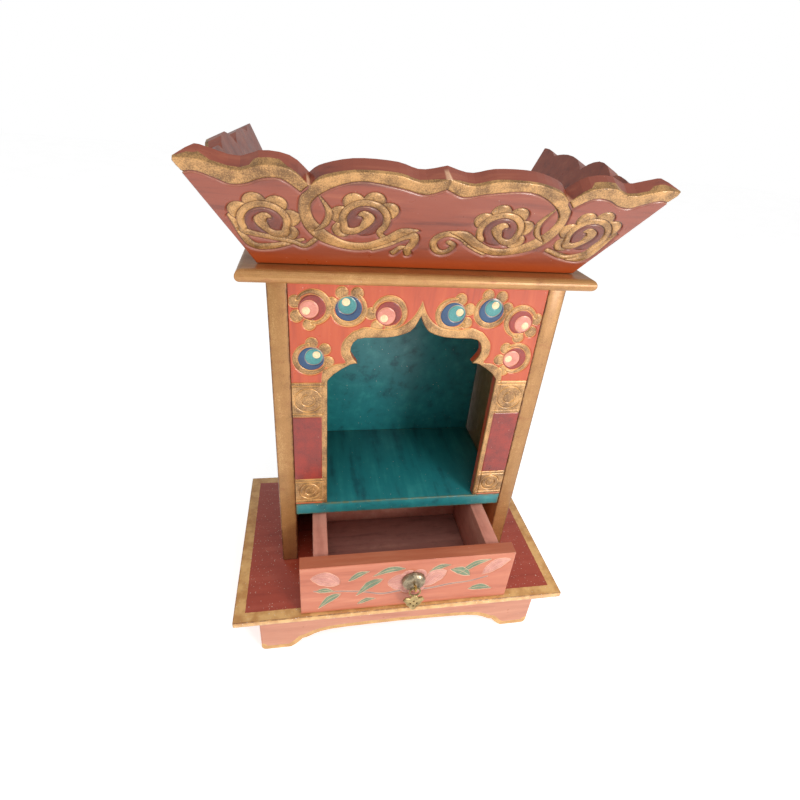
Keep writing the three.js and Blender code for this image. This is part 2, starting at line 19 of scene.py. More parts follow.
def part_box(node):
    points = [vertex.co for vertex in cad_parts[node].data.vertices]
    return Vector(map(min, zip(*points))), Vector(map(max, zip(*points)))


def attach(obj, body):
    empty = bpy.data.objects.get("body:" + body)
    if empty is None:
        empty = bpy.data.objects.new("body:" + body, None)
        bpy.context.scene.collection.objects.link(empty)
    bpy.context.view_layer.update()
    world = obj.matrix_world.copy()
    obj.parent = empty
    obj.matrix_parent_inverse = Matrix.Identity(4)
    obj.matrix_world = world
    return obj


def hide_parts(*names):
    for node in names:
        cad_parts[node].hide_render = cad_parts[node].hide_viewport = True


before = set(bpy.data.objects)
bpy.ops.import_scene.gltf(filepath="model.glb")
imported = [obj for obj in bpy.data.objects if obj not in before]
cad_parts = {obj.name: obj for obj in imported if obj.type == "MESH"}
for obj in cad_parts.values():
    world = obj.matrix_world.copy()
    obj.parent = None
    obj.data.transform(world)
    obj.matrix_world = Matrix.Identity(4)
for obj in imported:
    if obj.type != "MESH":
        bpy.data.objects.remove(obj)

LOG = logging.getLogger("altar_cabinet")
MM = 0.001
FAR = 40.0  # distances past this many millimetres are all the same to the carver


# ---------------------------------------------------------------- lines on a face, in millimetres
def curve(points: Sequence[Sequence[float]], steps: int = 24) -> np.ndarray:
    """Draws a smooth line through a few points.

    Args:
        points: the points, as across and up.
        steps: how many stretches the line is divided into.

    Returns:
        The line's points, one row each.
    """
    knots = np.asarray(points, float)
    if len(knots) < 3:
        share = np.linspace(0, 1, steps + 1)[:, None]
        return knots[0] * (1 - share) + knots[-1] * share
    ends = np.vstack([2 * knots[0] - knots[1], knots, 2 * knots[-1] - knots[-2]])
    place = np.linspace(0, len(knots) - 1, steps + 1)
    index = np.minimum(place.astype(int), len(knots) - 2)
    t = (place - index)[:, None]
    a, b, c, d = (ends[index + k] for k in range(4))
    return 0.5 * (2 * b + (c - a) * t + (2 * a - 5 * b + 4 * c - d) * t**2 + (3 * b - a - 3 * c + d) * t**3)


def arc(x: float, y: float, radius: float, start: float, end: float, steps: int = 24) -> np.ndarray:
    """Draws a circular arc between two angles in degrees.

    Args:
        x: across, of the centre.
        y: up, of the centre.
        radius: the arc's radius.
        start: the angle it starts at.
        end: the angle it ends at.
        steps: how many stretches it is divided into.

    Returns:
        The arc's points, one row each.
    """
    angles = np.radians(np.linspace(start, end, steps + 1))
    return np.stack([x + radius * np.cos(angles), y + radius * np.sin(angles)], axis=1)


def mirrored(line: np.ndarray) -> np.ndarray:
    """Returns a line mirrored left for right."""
    return line * np.array([-1.0, 1.0])


def measure(at: np.ndarray, line: np.ndarray, widths: Sequence[float] = (0.0, 0.0)) -> np.ndarray:
    """Measures how far points are from a band along a line.

    Args:
        at: the points to measure from.
        line: the middle of the band.
        widths: half widths of the band, at even stretches along it.

    Returns:
        The distance of each point, negative inside the band, and FAR where it is out of reach.
    """
    found = np.full(len(at), FAR)
    share = np.linspace(0, 1, len(line))
    half = np.interp(share, np.linspace(0, 1, len(widths)), widths)
    reach = 9.0 + float(np.max(half))
    for a, b, wide_a, wide_b in zip(line[:-1], line[1:], half[:-1], half[1:]):
        low = np.minimum(a, b) - reach
        high = np.maximum(a, b) + reach
        near = np.flatnonzero(np.all((at >= low) & (at <= high), axis=1))
        if not len(near):
            continue
        along = b - a
        t = np.clip((at[near] - a) @ along / max(along @ along, 1e-12), 0, 1)
        gap = np.linalg.norm(at[near] - a - t[:, None] * along, axis=1) - (wide_a + (wide_b - wide_a) * t)
        found[near] = np.minimum(found[near], gap)
    return found


def enclosed(at: np.ndarray, outline: np.ndarray) -> np.ndarray:
    """Tells which points lie inside a closed outline."""
    inside = np.zeros(len(at), bool)
    x, y = at[:, 0], at[:, 1]
    for a, b in zip(outline, np.roll(outline, -1, axis=0)):
        if a[1] == b[1]:
            continue
        spans = (a[1] > y) != (b[1] > y)
        inside ^= spans & (x < (b[0] - a[0]) * (y - a[1]) / (b[1] - a[1]) + a[0])
    return inside


# ---------------------------------------------------------------- painted and carved shapes
@dataclass(frozen=True)
class Stroke:
    """Band that follows a line."""

    line: np.ndarray
    widths: tuple[float, ...]

    def distance(self, at: np.ndarray) -> np.ndarray:
        """Returns the distance of points from the band, negative inside it."""
        return measure(at, self.line, self.widths)


@dataclass(frozen=True)
class Disc:
    """Round spot."""

    x: float
    y: float
    radius: float

    def distance(self, at: np.ndarray) -> np.ndarray:
        """Returns the distance of points from the disc's edge, negative inside it."""
        return np.minimum(np.hypot(at[:, 0] - self.x, at[:, 1] - self.y) - self.radius, FAR)


@dataclass(frozen=True)
class Patch:
    """Field inside a closed outline."""

    outline: np.ndarray

    def distance(self, at: np.ndarray) -> np.ndarray:
        """Returns the distance of points from the field's edge, negative inside it."""
        gap = measure(at, np.vstack([self.outline, self.outline[:1]]))
        return np.where(enclosed(at, self.outline), -gap, gap)


@dataclass(frozen=True)
class Joined:
    """Several shapes that run together."""

    shapes: tuple

    def distance(self, at: np.ndarray) -> np.ndarray:
        """Returns the distance of points from the joined outline, negative inside it."""
        return np.minimum.reduce([shape.distance(at) for shape in self.shapes])


Shape = Stroke | Disc | Patch | Joined


class Paint(Enum):
    """Colours that fields on the carved boards are painted with."""

    GILT = "gilt"
    DEEP = "deep"
    PALE = "pale"
    BLUE = "blue"
    TEAL = "teal"
    RED = "red"
    PINK = "pink"
    LEAF = "leaf"
    CREAM = "cream"


@dataclass(frozen=True)
class Layer:
    """One painted shape; cut is the share of the full groove depth along its edge."""

    shape: Shape
    paint: Paint
    cut: float = 1.0


@dataclass
class Design:
    """Everything carved and painted on one face, the topmost layer first."""

    groove_width: float
    groove_depth: float
    layers: list[Layer] = field(default_factory=list)
    lines: list[tuple[np.ndarray, float]] = field(default_factory=list)

    def mirrored_pair(self, layer: Layer) -> list[Layer]:
        """Returns a layer with its mirror image."""
        return [layer, Layer(flipped(layer.shape), layer.paint, layer.cut)]

    def read(self, at: np.ndarray) -> tuple[np.ndarray, dict[Paint, np.ndarray]]:
        """Works out the carving's depth and each paint's field at points.

        Args:
            at: the points on the face.

        Returns:
            The share of the full groove depth at each point, and each paint's signed distance.
        """
        half = self.groove_width / 2
        cut = np.zeros(len(at))
        covered = np.full(len(at), FAR)
        fields: dict[Paint, np.ndarray] = {}
        for layer in self.layers:
            gap = layer.shape.distance(at)
            share = layer.cut * np.clip(1 - np.abs(gap) / half, 0, 1)
            cut = np.where(covered > 0, np.maximum(cut, share), cut)
            shown = np.maximum(gap, -covered)
            fields[layer.paint] = np.minimum(fields.get(layer.paint, np.full(len(at), FAR)), shown)
            covered = np.minimum(covered, gap)
        for line, depth in self.lines:
            cut = np.maximum(cut, depth * np.clip(1 - measure(at, line) / half, 0, 1))
        return cut, fields


def flipped(shape: Shape) -> Shape:
    """Returns a shape mirrored left for right."""
    if isinstance(shape, Stroke):
        return Stroke(mirrored(shape.line), shape.widths)
    if isinstance(shape, Disc):
        return Disc(-shape.x, shape.y, shape.radius)
    if isinstance(shape, Patch):
        return Patch(mirrored(shape.outline))
    return Joined(tuple(flipped(part) for part in shape.shapes))


# ---------------------------------------------------------------- boards
@dataclass(frozen=True)
class Face:
    """Flat face of a board: a place on it, and its directions across, up and out."""

    origin: Vector
    across: Vector
    up: Vector
    out: Vector

    @classmethod
    def of(cls, node: str, facing: Vector, turned: bool = False, corner: bool = False) -> "Face":
        """Finds the broad face of a node that looks a given way.

        Args:
            node: the board's node.
            facing: roughly the way the face looks.
            turned: whether across runs the other way, for a mirrored board.
            corner: whether the origin is the face's foremost foot, and not below the object's middle.

        Returns:
            The face, with its origin at the foot.
        """
        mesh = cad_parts[node].data
        broad = max((p for p in mesh.polygons if p.normal.dot(facing) > 0.5), key=lambda p: p.area)
        out = broad.normal.copy().normalized()
        across = Vector((0, 0, 1)).cross(out).normalized() * (-1 if turned else 1)
        up = (Vector((0, 0, 1)) - out * out.z).normalized()
        level = out.dot(mesh.vertices[broad.vertices[0]].co)
        flat = [v.co for v in mesh.vertices if abs(out.dot(v.co) - level) < 0.05 * MM]
        foot = min(co.z for co in flat)
        low = [co for co in flat if co.z < foot + 0.2 * MM]
        origin = min(low, key=lambda co: co.y).copy()
        if not corner:
            origin -= across * origin.dot(across)
        return cls(origin, across, up, out)

    def flatten(self, co: Vector) -> tuple[float, float, float]:
        """Returns a point as across, up and out of the face, in millimetres."""
        gap = (co - self.origin) / MM
        return gap.dot(self.across), gap.dot(self.up), gap.dot(self.out)

    def stand(self, across: float, up: float, out: float) -> Vector:
        """Returns a point on the face, given in millimetres, in the model's own frame."""
        return self.origin + (self.across * across + self.up * up + self.out * out) * MM


def rim_of(edges: Iterable[tuple[int, int]]) -> list[int]:
    """Chains loose edges into closed rims and returns the longest."""
    following: dict[int, set[int]] = {}
    for a, b in edges:
        following.setdefault(a, set()).add(b)
        following.setdefault(b, set()).add(a)
    rims = []
    while following:
        rim = [min(following)]
        while following[rim[-1]]:
            step = min(following[rim[-1]])
            following[rim[-1]].discard(step)
            following[step].discard(rim[-1])
            if step == rim[0]:
                break
            rim.append(step)
        rims.append(rim)
        following = {spot: ahead for spot, ahead in following.items() if ahead}
    return max(rims, key=len)


@dataclass
class CarvedBoard:
    """Board whose face is rebuilt with its carving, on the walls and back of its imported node."""

    node: str
    face: Face
    design: Design
    coarse: float = 2.2
    fine: float = 0.62
    arris: float = 0.45

    def build(self) -> bpy.types.Object:
        """Builds the carved board.

        Returns:
            The board, in the model's own frame, with one material slot for the face and one for the rest.
        """
        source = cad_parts[self.node].data
        flat = [self.face.flatten(v.co) for v in source.vertices]
        first: dict[tuple[float, ...], int] = {}
        same = [first.setdefault(tuple(round(value, 3) for value in spot), i) for i, spot in enumerate(flat)]
        deepest = -self.design.groove_depth - 1.2
        walls = [
            tuple(same[i] for i in p.vertices) for p in source.polygons
            if min(flat[i][2] for i in p.vertices) < deepest
        ]
        used = sorted({i for wall in walls for i in wall})
        rename = {old: new for new, old in enumerate(used)}
        count: dict[tuple[int, int], int] = {}
        for wall in walls:
            for a, b in zip(wall, wall[1:] + wall[:1]):
                key = (min(a, b), max(a, b))
                count[key] = count.get(key, 0) + 1
        rim = rim_of(key for key, times in count.items() if times == 1)
        outline = np.array([flat[i][:2] for i in rim])
        inner = self.sprinkle(outline)
        at = np.vstack([outline, inner])
        ring = [(i, (i + 1) % len(rim)) for i in range(len(rim))]
        spots, _, faces, origins, _, _ = delaunay_2d_cdt([Vector(p) for p in at], ring, [], 1, 1e-6, True)
        where = np.array([tuple(p) for p in spots])
        middles = np.array([where[list(f)].mean(axis=0) for f in faces])
        faces = [f for f, kept in zip(faces, enclosed(middles, outline)) if kept]
        cut, fields = self.design.read(where)
        edge = measure(where, np.vstack([outline, outline[:1]]))
        height = -self.design.groove_depth * cut - self.arris * np.clip(1 - edge / 1.1, 0, 1) ** 2
        vertices = [self.place(flat[i]) for i in used]
        index = []
        for spot, sources in enumerate(origins):
            on_rim = [s for s in sources if s < len(rim)]
            if on_rim:
                index.append(rename[rim[on_rim[0]]])
                continue
            index.append(len(vertices))
            vertices.append(self.face.stand(where[spot, 0], where[spot, 1], float(height[spot])))
        polygons = [tuple(rename[i] for i in wall) for wall in walls]
        turn = self.face.across.cross(self.face.up).dot(self.face.out) > 0
        carved = [tuple(index[i] for i in (f if turn else reversed(f))) for f in faces]
        mesh = bpy.data.meshes.new(self.node + "_carved")
        mesh.from_pydata(vertices, [], polygons + carved)
        self.keep(mesh, "cut", index, cut)
        self.keep(mesh, "edge", index, edge)
        for paint, values in fields.items():
            self.keep(mesh, paint.value, index, values)
        on_face = np.arange(len(mesh.polygons)) >= len(polygons)
        mesh.polygons.foreach_set("material_index", np.where(on_face, 0, 1).astype(np.int32))
        mesh.polygons.foreach_set("use_smooth", on_face)
        mesh.update()
        board = bpy.data.objects.new(self.node + "_carved", mesh)
        bpy.context.scene.collection.objects.link(board)
        LOG.info("%s: %d faces", board.name, len(mesh.polygons))
        return board

    def place(self, flat: tuple[float, float, float]) -> Vector:
        """Returns a wall's corner, with the arris of the face taken off."""
        across, up, out = flat
        return self.face.stand(across, up, min(out, -self.arris))

    def sprinkle(self, outline: np.ndarray) -> np.ndarray:
        """Spreads points over the face: closely along the carving, and widely between.

        Args:
            outline: the face's outline.

        Returns:
            The points, clear of the outline.
        """
        low, high = outline.min(axis=0), outline.max(axis=0)
        found = []
        for spacing, close in ((self.coarse, False), (self.fine, True)):
            columns = np.arange(low[0] + spacing / 2, high[0], spacing)
            rows = np.arange(low[1] + spacing / 2, high[1], spacing * math.sqrt(3) / 2)
            grid_x, grid_y = np.meshgrid(columns, rows)
            grid_x = grid_x + (np.arange(len(rows)) % 2)[:, None] * spacing / 2
            at = np.stack([grid_x.ravel(), grid_y.ravel()], axis=1)
            at = at[enclosed(at, outline)]
            edge = measure(at, np.vstack([outline, outline[:1]]))
            at = at[edge > 0.45 * self.fine]
            near = self.near_carving(at) | (measure(at, np.vstack([outline, outline[:1]])) < 1.4)
            found.append(at[near] if close else at[~near])
        return np.vstack(found)

    def near_carving(self, at: np.ndarray) -> np.ndarray:
        """Tells which points are close to a groove or to the edge of a painted field."""
        probe = Design(self.design.groove_width + 1.6, 1.0, self.design.layers, self.design.lines)
        return probe.read(at)[0] > 0

    @staticmethod
    def keep(mesh: bpy.types.Mesh, name: str, index: Sequence[int], values: np.ndarray) -> None:
        """Stores a value at each point of the face, and a distant one elsewhere."""
        stored = np.full(len(mesh.vertices), 0.0 if name == "cut" else FAR, np.float32)
        stored[np.asarray(index)] = values
        mesh.attributes.new(name, "FLOAT", "POINT").data.foreach_set("value", stored)


def eased_copy(node: str, radius: float, segments: int = 2, sharp: float = 35.0) -> bpy.types.Object:
    """Makes a copy of a node whose sharp edges are eased, as on a board that has been handled.

    Args:
        node: the node to copy.
        radius: how far the edges are eased, in millimetres.
        segments: how many facets round each edge.
        sharp: the least angle, in degrees, of an edge that is eased.

    Returns:
        The eased piece, in the model's own frame.
    """
    work = bmesh.new()
    work.from_mesh(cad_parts[node].data)
    bmesh.ops.remove_doubles(work, verts=work.verts, dist=1e-6)
    bmesh.ops.dissolve_limit(work, angle_limit=math.radians(1), verts=work.verts, edges=work.edges)
    keen = [e for e in work.edges if len(e.link_faces) == 2 and e.calc_face_angle(0) > math.radians(sharp)]
    bmesh.ops.bevel(
        work, geom=keen, offset=radius * MM, segments=segments, profile=0.5, affect="EDGES", clamp_overlap=True,
    )
    mesh = bpy.data.meshes.new(node + "_eased")
    work.to_mesh(mesh)
    work.free()
    mesh.polygons.foreach_set("use_smooth", [True] * len(mesh.polygons))
    mesh.set_sharp_from_angle(angle=math.radians(40))
    piece = bpy.data.objects.new(node + "_eased", mesh)
    bpy.context.scene.collection.objects.link(piece)
    return piece


# ---------------------------------------------------------------- shader groups
class Bench:
    """Shorthand for laying out the nodes of one material or group."""

    def __init__(self, tree: bpy.types.NodeTree) -> None:
        """Starts on a node tree."""
        self.tree = tree

    def node(self, kind: str, **settings: object) -> bpy.types.Node:
        """Adds a node and sets its properties."""
        made = self.tree.nodes.new(kind)
        for name, value in settings.items():
            setattr(made, name, value)
        return made

    def join(self, source: object, target: bpy.types.NodeSocket) -> None:
        """Links a socket, or sets a plain value, on a target socket."""
        if isinstance(source, bpy.types.NodeSocket):
            self.tree.links.new(source, target)
        else:
            target.default_value = source

    def maths(self, operation: str, *values: object) -> bpy.types.NodeSocket:
        """Works out one number from others."""
        node = self.node("ShaderNodeMath", operation=operation)
        for value, target in zip(values, node.inputs):
            self.join(value, target)
        return node.outputs[0]

    def vector(self, operation: str, *values: object) -> bpy.types.NodeSocket:
        """Works out one vector from others."""
        node = self.node("ShaderNodeVectorMath", operation=operation)
        for value, target in zip(values, node.inputs):
            self.join(value, target)
        return node.outputs[0]

    def spread(self, value: object, low: object, high: object, start: object = 0.0, end: object = 1.0) -> bpy.types.NodeSocket:
        """Maps a range of values onto another, smoothly and within its limits."""
        node = self.node("ShaderNodeMapRange", interpolation_type="SMOOTHSTEP")
        for source, target in zip((value, low, high, start, end), node.inputs):
            self.join(source, target)
        return node.outputs[0]

    def blend(self, share: object, below: object, above: object, mode: str = "MIX") -> bpy.types.NodeSocket:
        """Lays one colour over another."""
        node = self.node("ShaderNodeMix", data_type="RGBA", blend_type=mode)
        self.join(share, node.inputs[0])
        self.join(below, node.inputs[6])
        self.join(above, node.inputs[7])
        return node.outputs[2]

    def between(self, share: object, low: object, high: object) -> bpy.types.NodeSocket:
        """Mixes two numbers."""
        node = self.node("ShaderNodeMix", data_type="FLOAT")
        self.join(share, node.inputs[0])
        self.join(low, node.inputs[2])
        self.join(high, node.inputs[3])
        return node.outputs[0]

    def noise(self, at: object, scale: float, detail: float = 3.0, rough: float = 0.55) -> bpy.types.NodeSocket:
        """Adds a noise and returns its value."""
        node = self.node("ShaderNodeTexNoise")
        self.join(at, node.inputs["Vector"])
        node.inputs["Scale"].default_value = scale
        node.inputs["Detail"].default_value = detail
        node.inputs["Roughness"].default_value = rough
        return node.outputs["Fac"]

    def group(self, tree: bpy.types.NodeTree, **values: object) -> bpy.types.Node:
        """Places a shader group with its own values."""
        node = self.node("ShaderNodeGroup", node_tree=tree)
        for name, value in values.items():
            self.join(value, node.inputs[name.replace("_", " ").capitalize()])
        return node


def new_group(name: str, inputs: dict[str, object], outputs: Sequence[str]) -> tuple[Bench, bpy.types.Node, bpy.types.Node]:
    """Starts a shader group.

    Args:
        name: the group's name.
        inputs: each input's name and default; a triple makes a vector socket.
        outputs: the names of its outputs, all of them numbers.

    Returns:
        A bench on the group, its input node and its output node.
    """
    tree = bpy.data.node_groups.new(name, "ShaderNodeTree")
    for label, value in inputs.items():
        kind = "NodeSocketVector" if isinstance(value, tuple) else "NodeSocketFloat"
        tree.interface.new_socket(name=label, in_out="INPUT", socket_type=kind).default_value = value
    for label in outputs:
        tree.interface.new_socket(name=label, in_out="OUTPUT", socket_type="NodeSocketFloat")
    bench = Bench(tree)
    return bench, bench.node("NodeGroupInput"), bench.node("NodeGroupOutput")


def grain_group() -> bpy.types.NodeTree:
    """Builds the wood grain group: broad streaks and fine fibres that run along the board."""
    bench, given, out = new_group("wood_grain", {"Along": (1.0, 1.0, 1.0), "Scale": 60.0}, ("Streak", "Fibre"))
    place = bench.node("ShaderNodeTexCoord").outputs["Object"]
    drawn = bench.vector("MULTIPLY", place, given.outputs["Along"])
    scaled = bench.node("ShaderNodeVectorMath", operation="SCALE")
    bench.join(drawn, scaled.inputs[0])
    bench.join(given.outputs["Scale"], scaled.inputs["Scale"])
    warp = bench.node("ShaderNodeTexNoise")
    bench.join(scaled.outputs[0], warp.inputs["Vector"])
    warp.inputs["Scale"].default_value = 0.35
    shifted = bench.vector("ADD", scaled.outputs[0], warp.outputs["Color"])
    bench.join(bench.noise(shifted, 1.0, 5.0, 0.6), out.inputs["Streak"])
    bench.join(bench.noise(shifted, 7.0, 3.0, 0.65), out.inputs["Fibre"])
    return bench.tree


def speckle_group() -> bpy.types.NodeTree:
    """Builds the group for brushed metallic paint: flakes, patches and thin spots."""
    bench, given, out = new_group("gilt_speckle", {"Fineness": 1.0}, ("Flake", "Patch", "Thin"))
    place = bench.node("ShaderNodeTexCoord").outputs["Object"]
    scaled = bench.node("ShaderNodeVectorMath", operation="SCALE")
    bench.join(place, scaled.inputs[0])
    bench.join(given.outputs["Fineness"], scaled.inputs["Scale"])
    bench.join(bench.noise(scaled.outputs[0], 1100.0, 2.0, 0.7), out.inputs["Flake"])
    bench.join(bench.noise(scaled.outputs[0], 75.0, 4.0, 0.6), out.inputs["Patch"])
    thin = bench.noise(scaled.outputs[0], 320.0, 4.0, 0.75)
    bench.join(bench.spread(thin, 0.6, 0.72), out.inputs["Thin"])
    return bench.tree


def field_group() -> bpy.types.NodeTree:
    """Builds the group that turns a stored distance into a painted field with a hand-drawn edge."""
    inputs = {"Distance": 0.0, "Softness": 0.16, "Waver": 0.25}
    bench, given, out = new_group("painted_field", inputs, ("Mask",))
    place = bench.node("ShaderNodeTexCoord").outputs["Object"]
    shake = bench.maths("SUBTRACT", bench.noise(place, 420.0, 2.0), 0.5)
    moved = bench.maths("MULTIPLY_ADD", shake, given.outputs["Waver"], given.outputs["Distance"])
    low = bench.maths("MULTIPLY", given.outputs["Softness"], -1.0)
    bench.join(bench.spread(moved, low, given.outputs["Softness"], 1.0, 0.0), out.inputs["Mask"])
    return bench.tree


def edge_group() -> bpy.types.NodeTree:
    """Builds the wear group: how near a point is to the edges of a board, broken up as by handling."""
    inputs = {"Low": (0.0, 0.0, 0.0), "High": (1.0, 1.0, 1.0), "Width": 0.002, "Broken": 0.8}
    bench, given, out = new_group("edge_wear", inputs, ("Mask", "Border"))
    place = bench.node("ShaderNodeTexCoord").outputs["Object"]
    under = bench.vector("SUBTRACT", place, given.outputs["Low"])
    over = bench.vector("SUBTRACT", given.outputs["High"], place)
    inset = bench.node("ShaderNodeSeparateXYZ")
    bench.join(bench.vector("MINIMUM", under, over), inset.inputs[0])
    near = [bench.spread(value, 0.0, given.outputs["Width"], 1.0, 0.0) for value in inset.outputs]
    pairs = [bench.maths("MULTIPLY", near[i], near[(i + 1) % 3]) for i in range(3)]
    keen = bench.maths("MAXIMUM", bench.maths("MAXIMUM", pairs[0], pairs[1]), pairs[2])
    rub = bench.spread(bench.noise(place, 170.0, 5.0, 0.7), 0.36, 0.62)
    worn = bench.maths("MULTIPLY", keen, bench.between(given.outputs["Broken"], 1.0, rub))
    bench.join(worn, out.inputs["Mask"])
    bench.join(bench.maths("MINIMUM", inset.outputs[0], inset.outputs[1]), out.inputs["Border"])
    return bench.tree


def dust_group() -> bpy.types.NodeTree:
    """Builds the group for specks, rubs and fine scratches on old paint."""
    bench, given, out = new_group("dust_and_rubs", {"Amount": 0.5}, ("Specks", "Rubs"))
    place = bench.node("ShaderNodeTexCoord").outputs["Object"]
    limit = bench.spread(given.outputs["Amount"], 0.0, 1.0, 0.82, 0.62)
    speck = bench.noise(place, 520.0, 1.0, 0.5)
    bench.join(bench.spread(speck, limit, bench.maths("ADD", limit, 0.05)), out.inputs["Specks"])
    smeared = bench.vector("MULTIPLY", place, (30.0, 90.0, 60.0))
    bench.join(bench.spread(bench.noise(smeared, 2.2, 6.0, 0.7), 0.5, 0.78), out.inputs["Rubs"])
    return bench.tree


# ---------------------------------------------------------------- finishes
Tone = tuple[float, float, float, float]


def tone(red: int, green: int, blue: int) -> Tone:
    """Returns a colour, given as on a paint card in steps of 255, as linear light."""
    parts = [((v / 255 + 0.055) / 1.055) ** 2.4 if v > 10 else v / 3294.6 for v in (red, green, blue)]
    return parts[0], parts[1], parts[2], 1.0


class Grain(Enum):
    """Which way a board's grain runs: each axis's share of the grain's frequency."""

    ACROSS = (0.12, 1.0, 1.0)
    DEEP = (1.0, 0.12, 1.0)
    UP = (1.0, 1.0, 0.12)


@dataclass(frozen=True)
class Shelf:
    """The shader groups that every finish takes from."""

    grain: bpy.types.NodeTree
    speckle: bpy.types.NodeTree
    painted: bpy.types.NodeTree
    edge: bpy.types.NodeTree
    dust: bpy.types.NodeTree

    @classmethod
    def stock(cls) -> "Shelf":
        """Builds each group once."""
        return cls(grain_group(), speckle_group(), field_group(), edge_group(), dust_group())


def new_material(name: str) -> tuple[bpy.types.Material, Bench, bpy.types.Node]:
    """Starts a material and returns it with a bench and its surface shader."""
    material = bpy.data.materials.new(name)
    material.use_nodes = True
    return material, Bench(material.node_tree), material.node_tree.nodes["Principled BSDF"]


@dataclass(frozen=True)
class CarvedPaint:
    """Painted finish of a carved face: a ground, painted fields, and a painted highlight and painted shade on the
    flanks of the grooves.
    """

    name: str
    ground: tuple[Tone, Tone, Tone]
    fields: dict[Paint, tuple[Tone, Tone]]
    grain: Grain = Grain.ACROSS
    foot: Tone | None = None
    foot_height: float = 0.03
    # painted highlight on groove flanks that face up, and painted shade on those that face down
    groove_painted_highlight: Tone = (0.55, 0.32, 0.16, 1.0)
    groove_painted_shade: Tone = (0.05, 0.015, 0.006, 1.0)
    coat: float = 0.5
    roughness: float = 0.34
    coat_roughness: float = 0.22
    specks: float = 0.3

    def make(self, shelf: Shelf, foot_level: float = 0.0) -> bpy.types.Material:
        """Builds the material.

        Args:
            shelf: the shader groups.
            foot_level: height of the board's foot, where the foot colour is strongest.

        Returns:
            The finished material.
        """
        material, bench, surface = new_material(self.name)
        grain = bench.group(shelf.grain, along=self.grain.value, scale=95.0)
        flakes = bench.group(shelf.speckle, fineness=1.0)
        dust = bench.group(shelf.dust, amount=self.specks)
        place = bench.node("ShaderNodeTexCoord").outputs["Object"]
        low, middle, high = self.ground
        streak = grain.outputs["Streak"]
        colour = bench.blend(bench.spread(streak, 0.25, 0.5), low, middle)
        colour = bench.blend(bench.spread(streak, 0.5, 0.78), colour, high)
        if self.foot is not None:
            level = bench.node("ShaderNodeSeparateXYZ")
            bench.join(place, level.inputs[0])
            risen = bench.maths("MULTIPLY_ADD", bench.maths("SUBTRACT", streak, 0.5), self.foot_height * 0.7, level.outputs[2])
            share = bench.spread(risen, foot_level, foot_level + self.foot_height, 0.95, 0.0)
            colour = bench.blend(share, colour, self.foot)
        gilt = None
        for paint, (shade, light) in self.fields.items():
            stored = bench.node("ShaderNodeAttribute", attribute_name=paint.value)
            mask = bench.group(shelf.painted, distance=stored.outputs["Fac"]).outputs["Mask"]
            if paint is Paint.GILT:
                mask = bench.maths("MULTIPLY", mask, bench.between(flakes.outputs["Thin"], 1.0, 0.55))
                gilt = mask
            mottle = bench.between(0.45, flakes.outputs["Patch"], flakes.outputs["Flake"])
            colour = bench.blend(mask, colour, bench.blend(bench.spread(mottle, 0.36, 0.64), shade, light))
        cut = bench.node("ShaderNodeAttribute", attribute_name="cut").outputs["Fac"]
        facing = bench.node("ShaderNodeSeparateXYZ")
        bench.join(bench.node("ShaderNodeNewGeometry").outputs["Normal"], facing.inputs[0])
        # painted light in the grooves: up-facing flanks get a painted highlight, broken up by patchy noise, and
        # down-facing flanks get painted shade
        in_groove = bench.spread(cut, 0.15, 0.6)
        painted_highlight_share = bench.maths("MULTIPLY", in_groove, bench.spread(facing.outputs[2], -0.12, 0.35))
        dark = bench.maths("MULTIPLY", in_groove, bench.spread(facing.outputs[2], -0.75, -0.3, 1.0, 0.0))
        rubbed = bench.spread(flakes.outputs["Patch"], 0.3, 0.62, 0.45, 1.0)
        colour = bench.blend(bench.maths("MULTIPLY", dark, 0.9), colour, self.groove_painted_shade)
        colour = bench.blend(bench.maths("MULTIPLY", painted_highlight_share, rubbed), colour, self.groove_painted_highlight)
        colour = bench.blend(bench.maths("MULTIPLY", dust.outputs["Specks"], 0.5), colour, tone(235, 215, 190))
        bench.join(colour, surface.inputs["Base Color"])
        uneven = bench.spread(flakes.outputs["Patch"], 0.3, 0.7, self.roughness - 0.07, self.roughness + 0.1)
        bench.join(uneven if gilt is None else bench.between(gilt, uneven, 0.42), surface.inputs["Roughness"])
        if gilt is not None:
            bench.join(bench.maths("MULTIPLY", gilt, 0.35), surface.inputs["Metallic"])
        surface.inputs["Coat Weight"].default_value = self.coat
        surface.inputs["Coat Roughness"].default_value = self.coat_roughness
        bump = bench.node("ShaderNodeBump")
        bump.inputs["Distance"].default_value = 0.12 * MM
        bump.inputs["Strength"].default_value = 0.55
        bench.join(bench.between(0.5, grain.outputs["Fibre"], flakes.outputs["Flake"]), bump.inputs["Height"])
        bench.join(bump.outputs[0], surface.inputs["Normal"])
        return material


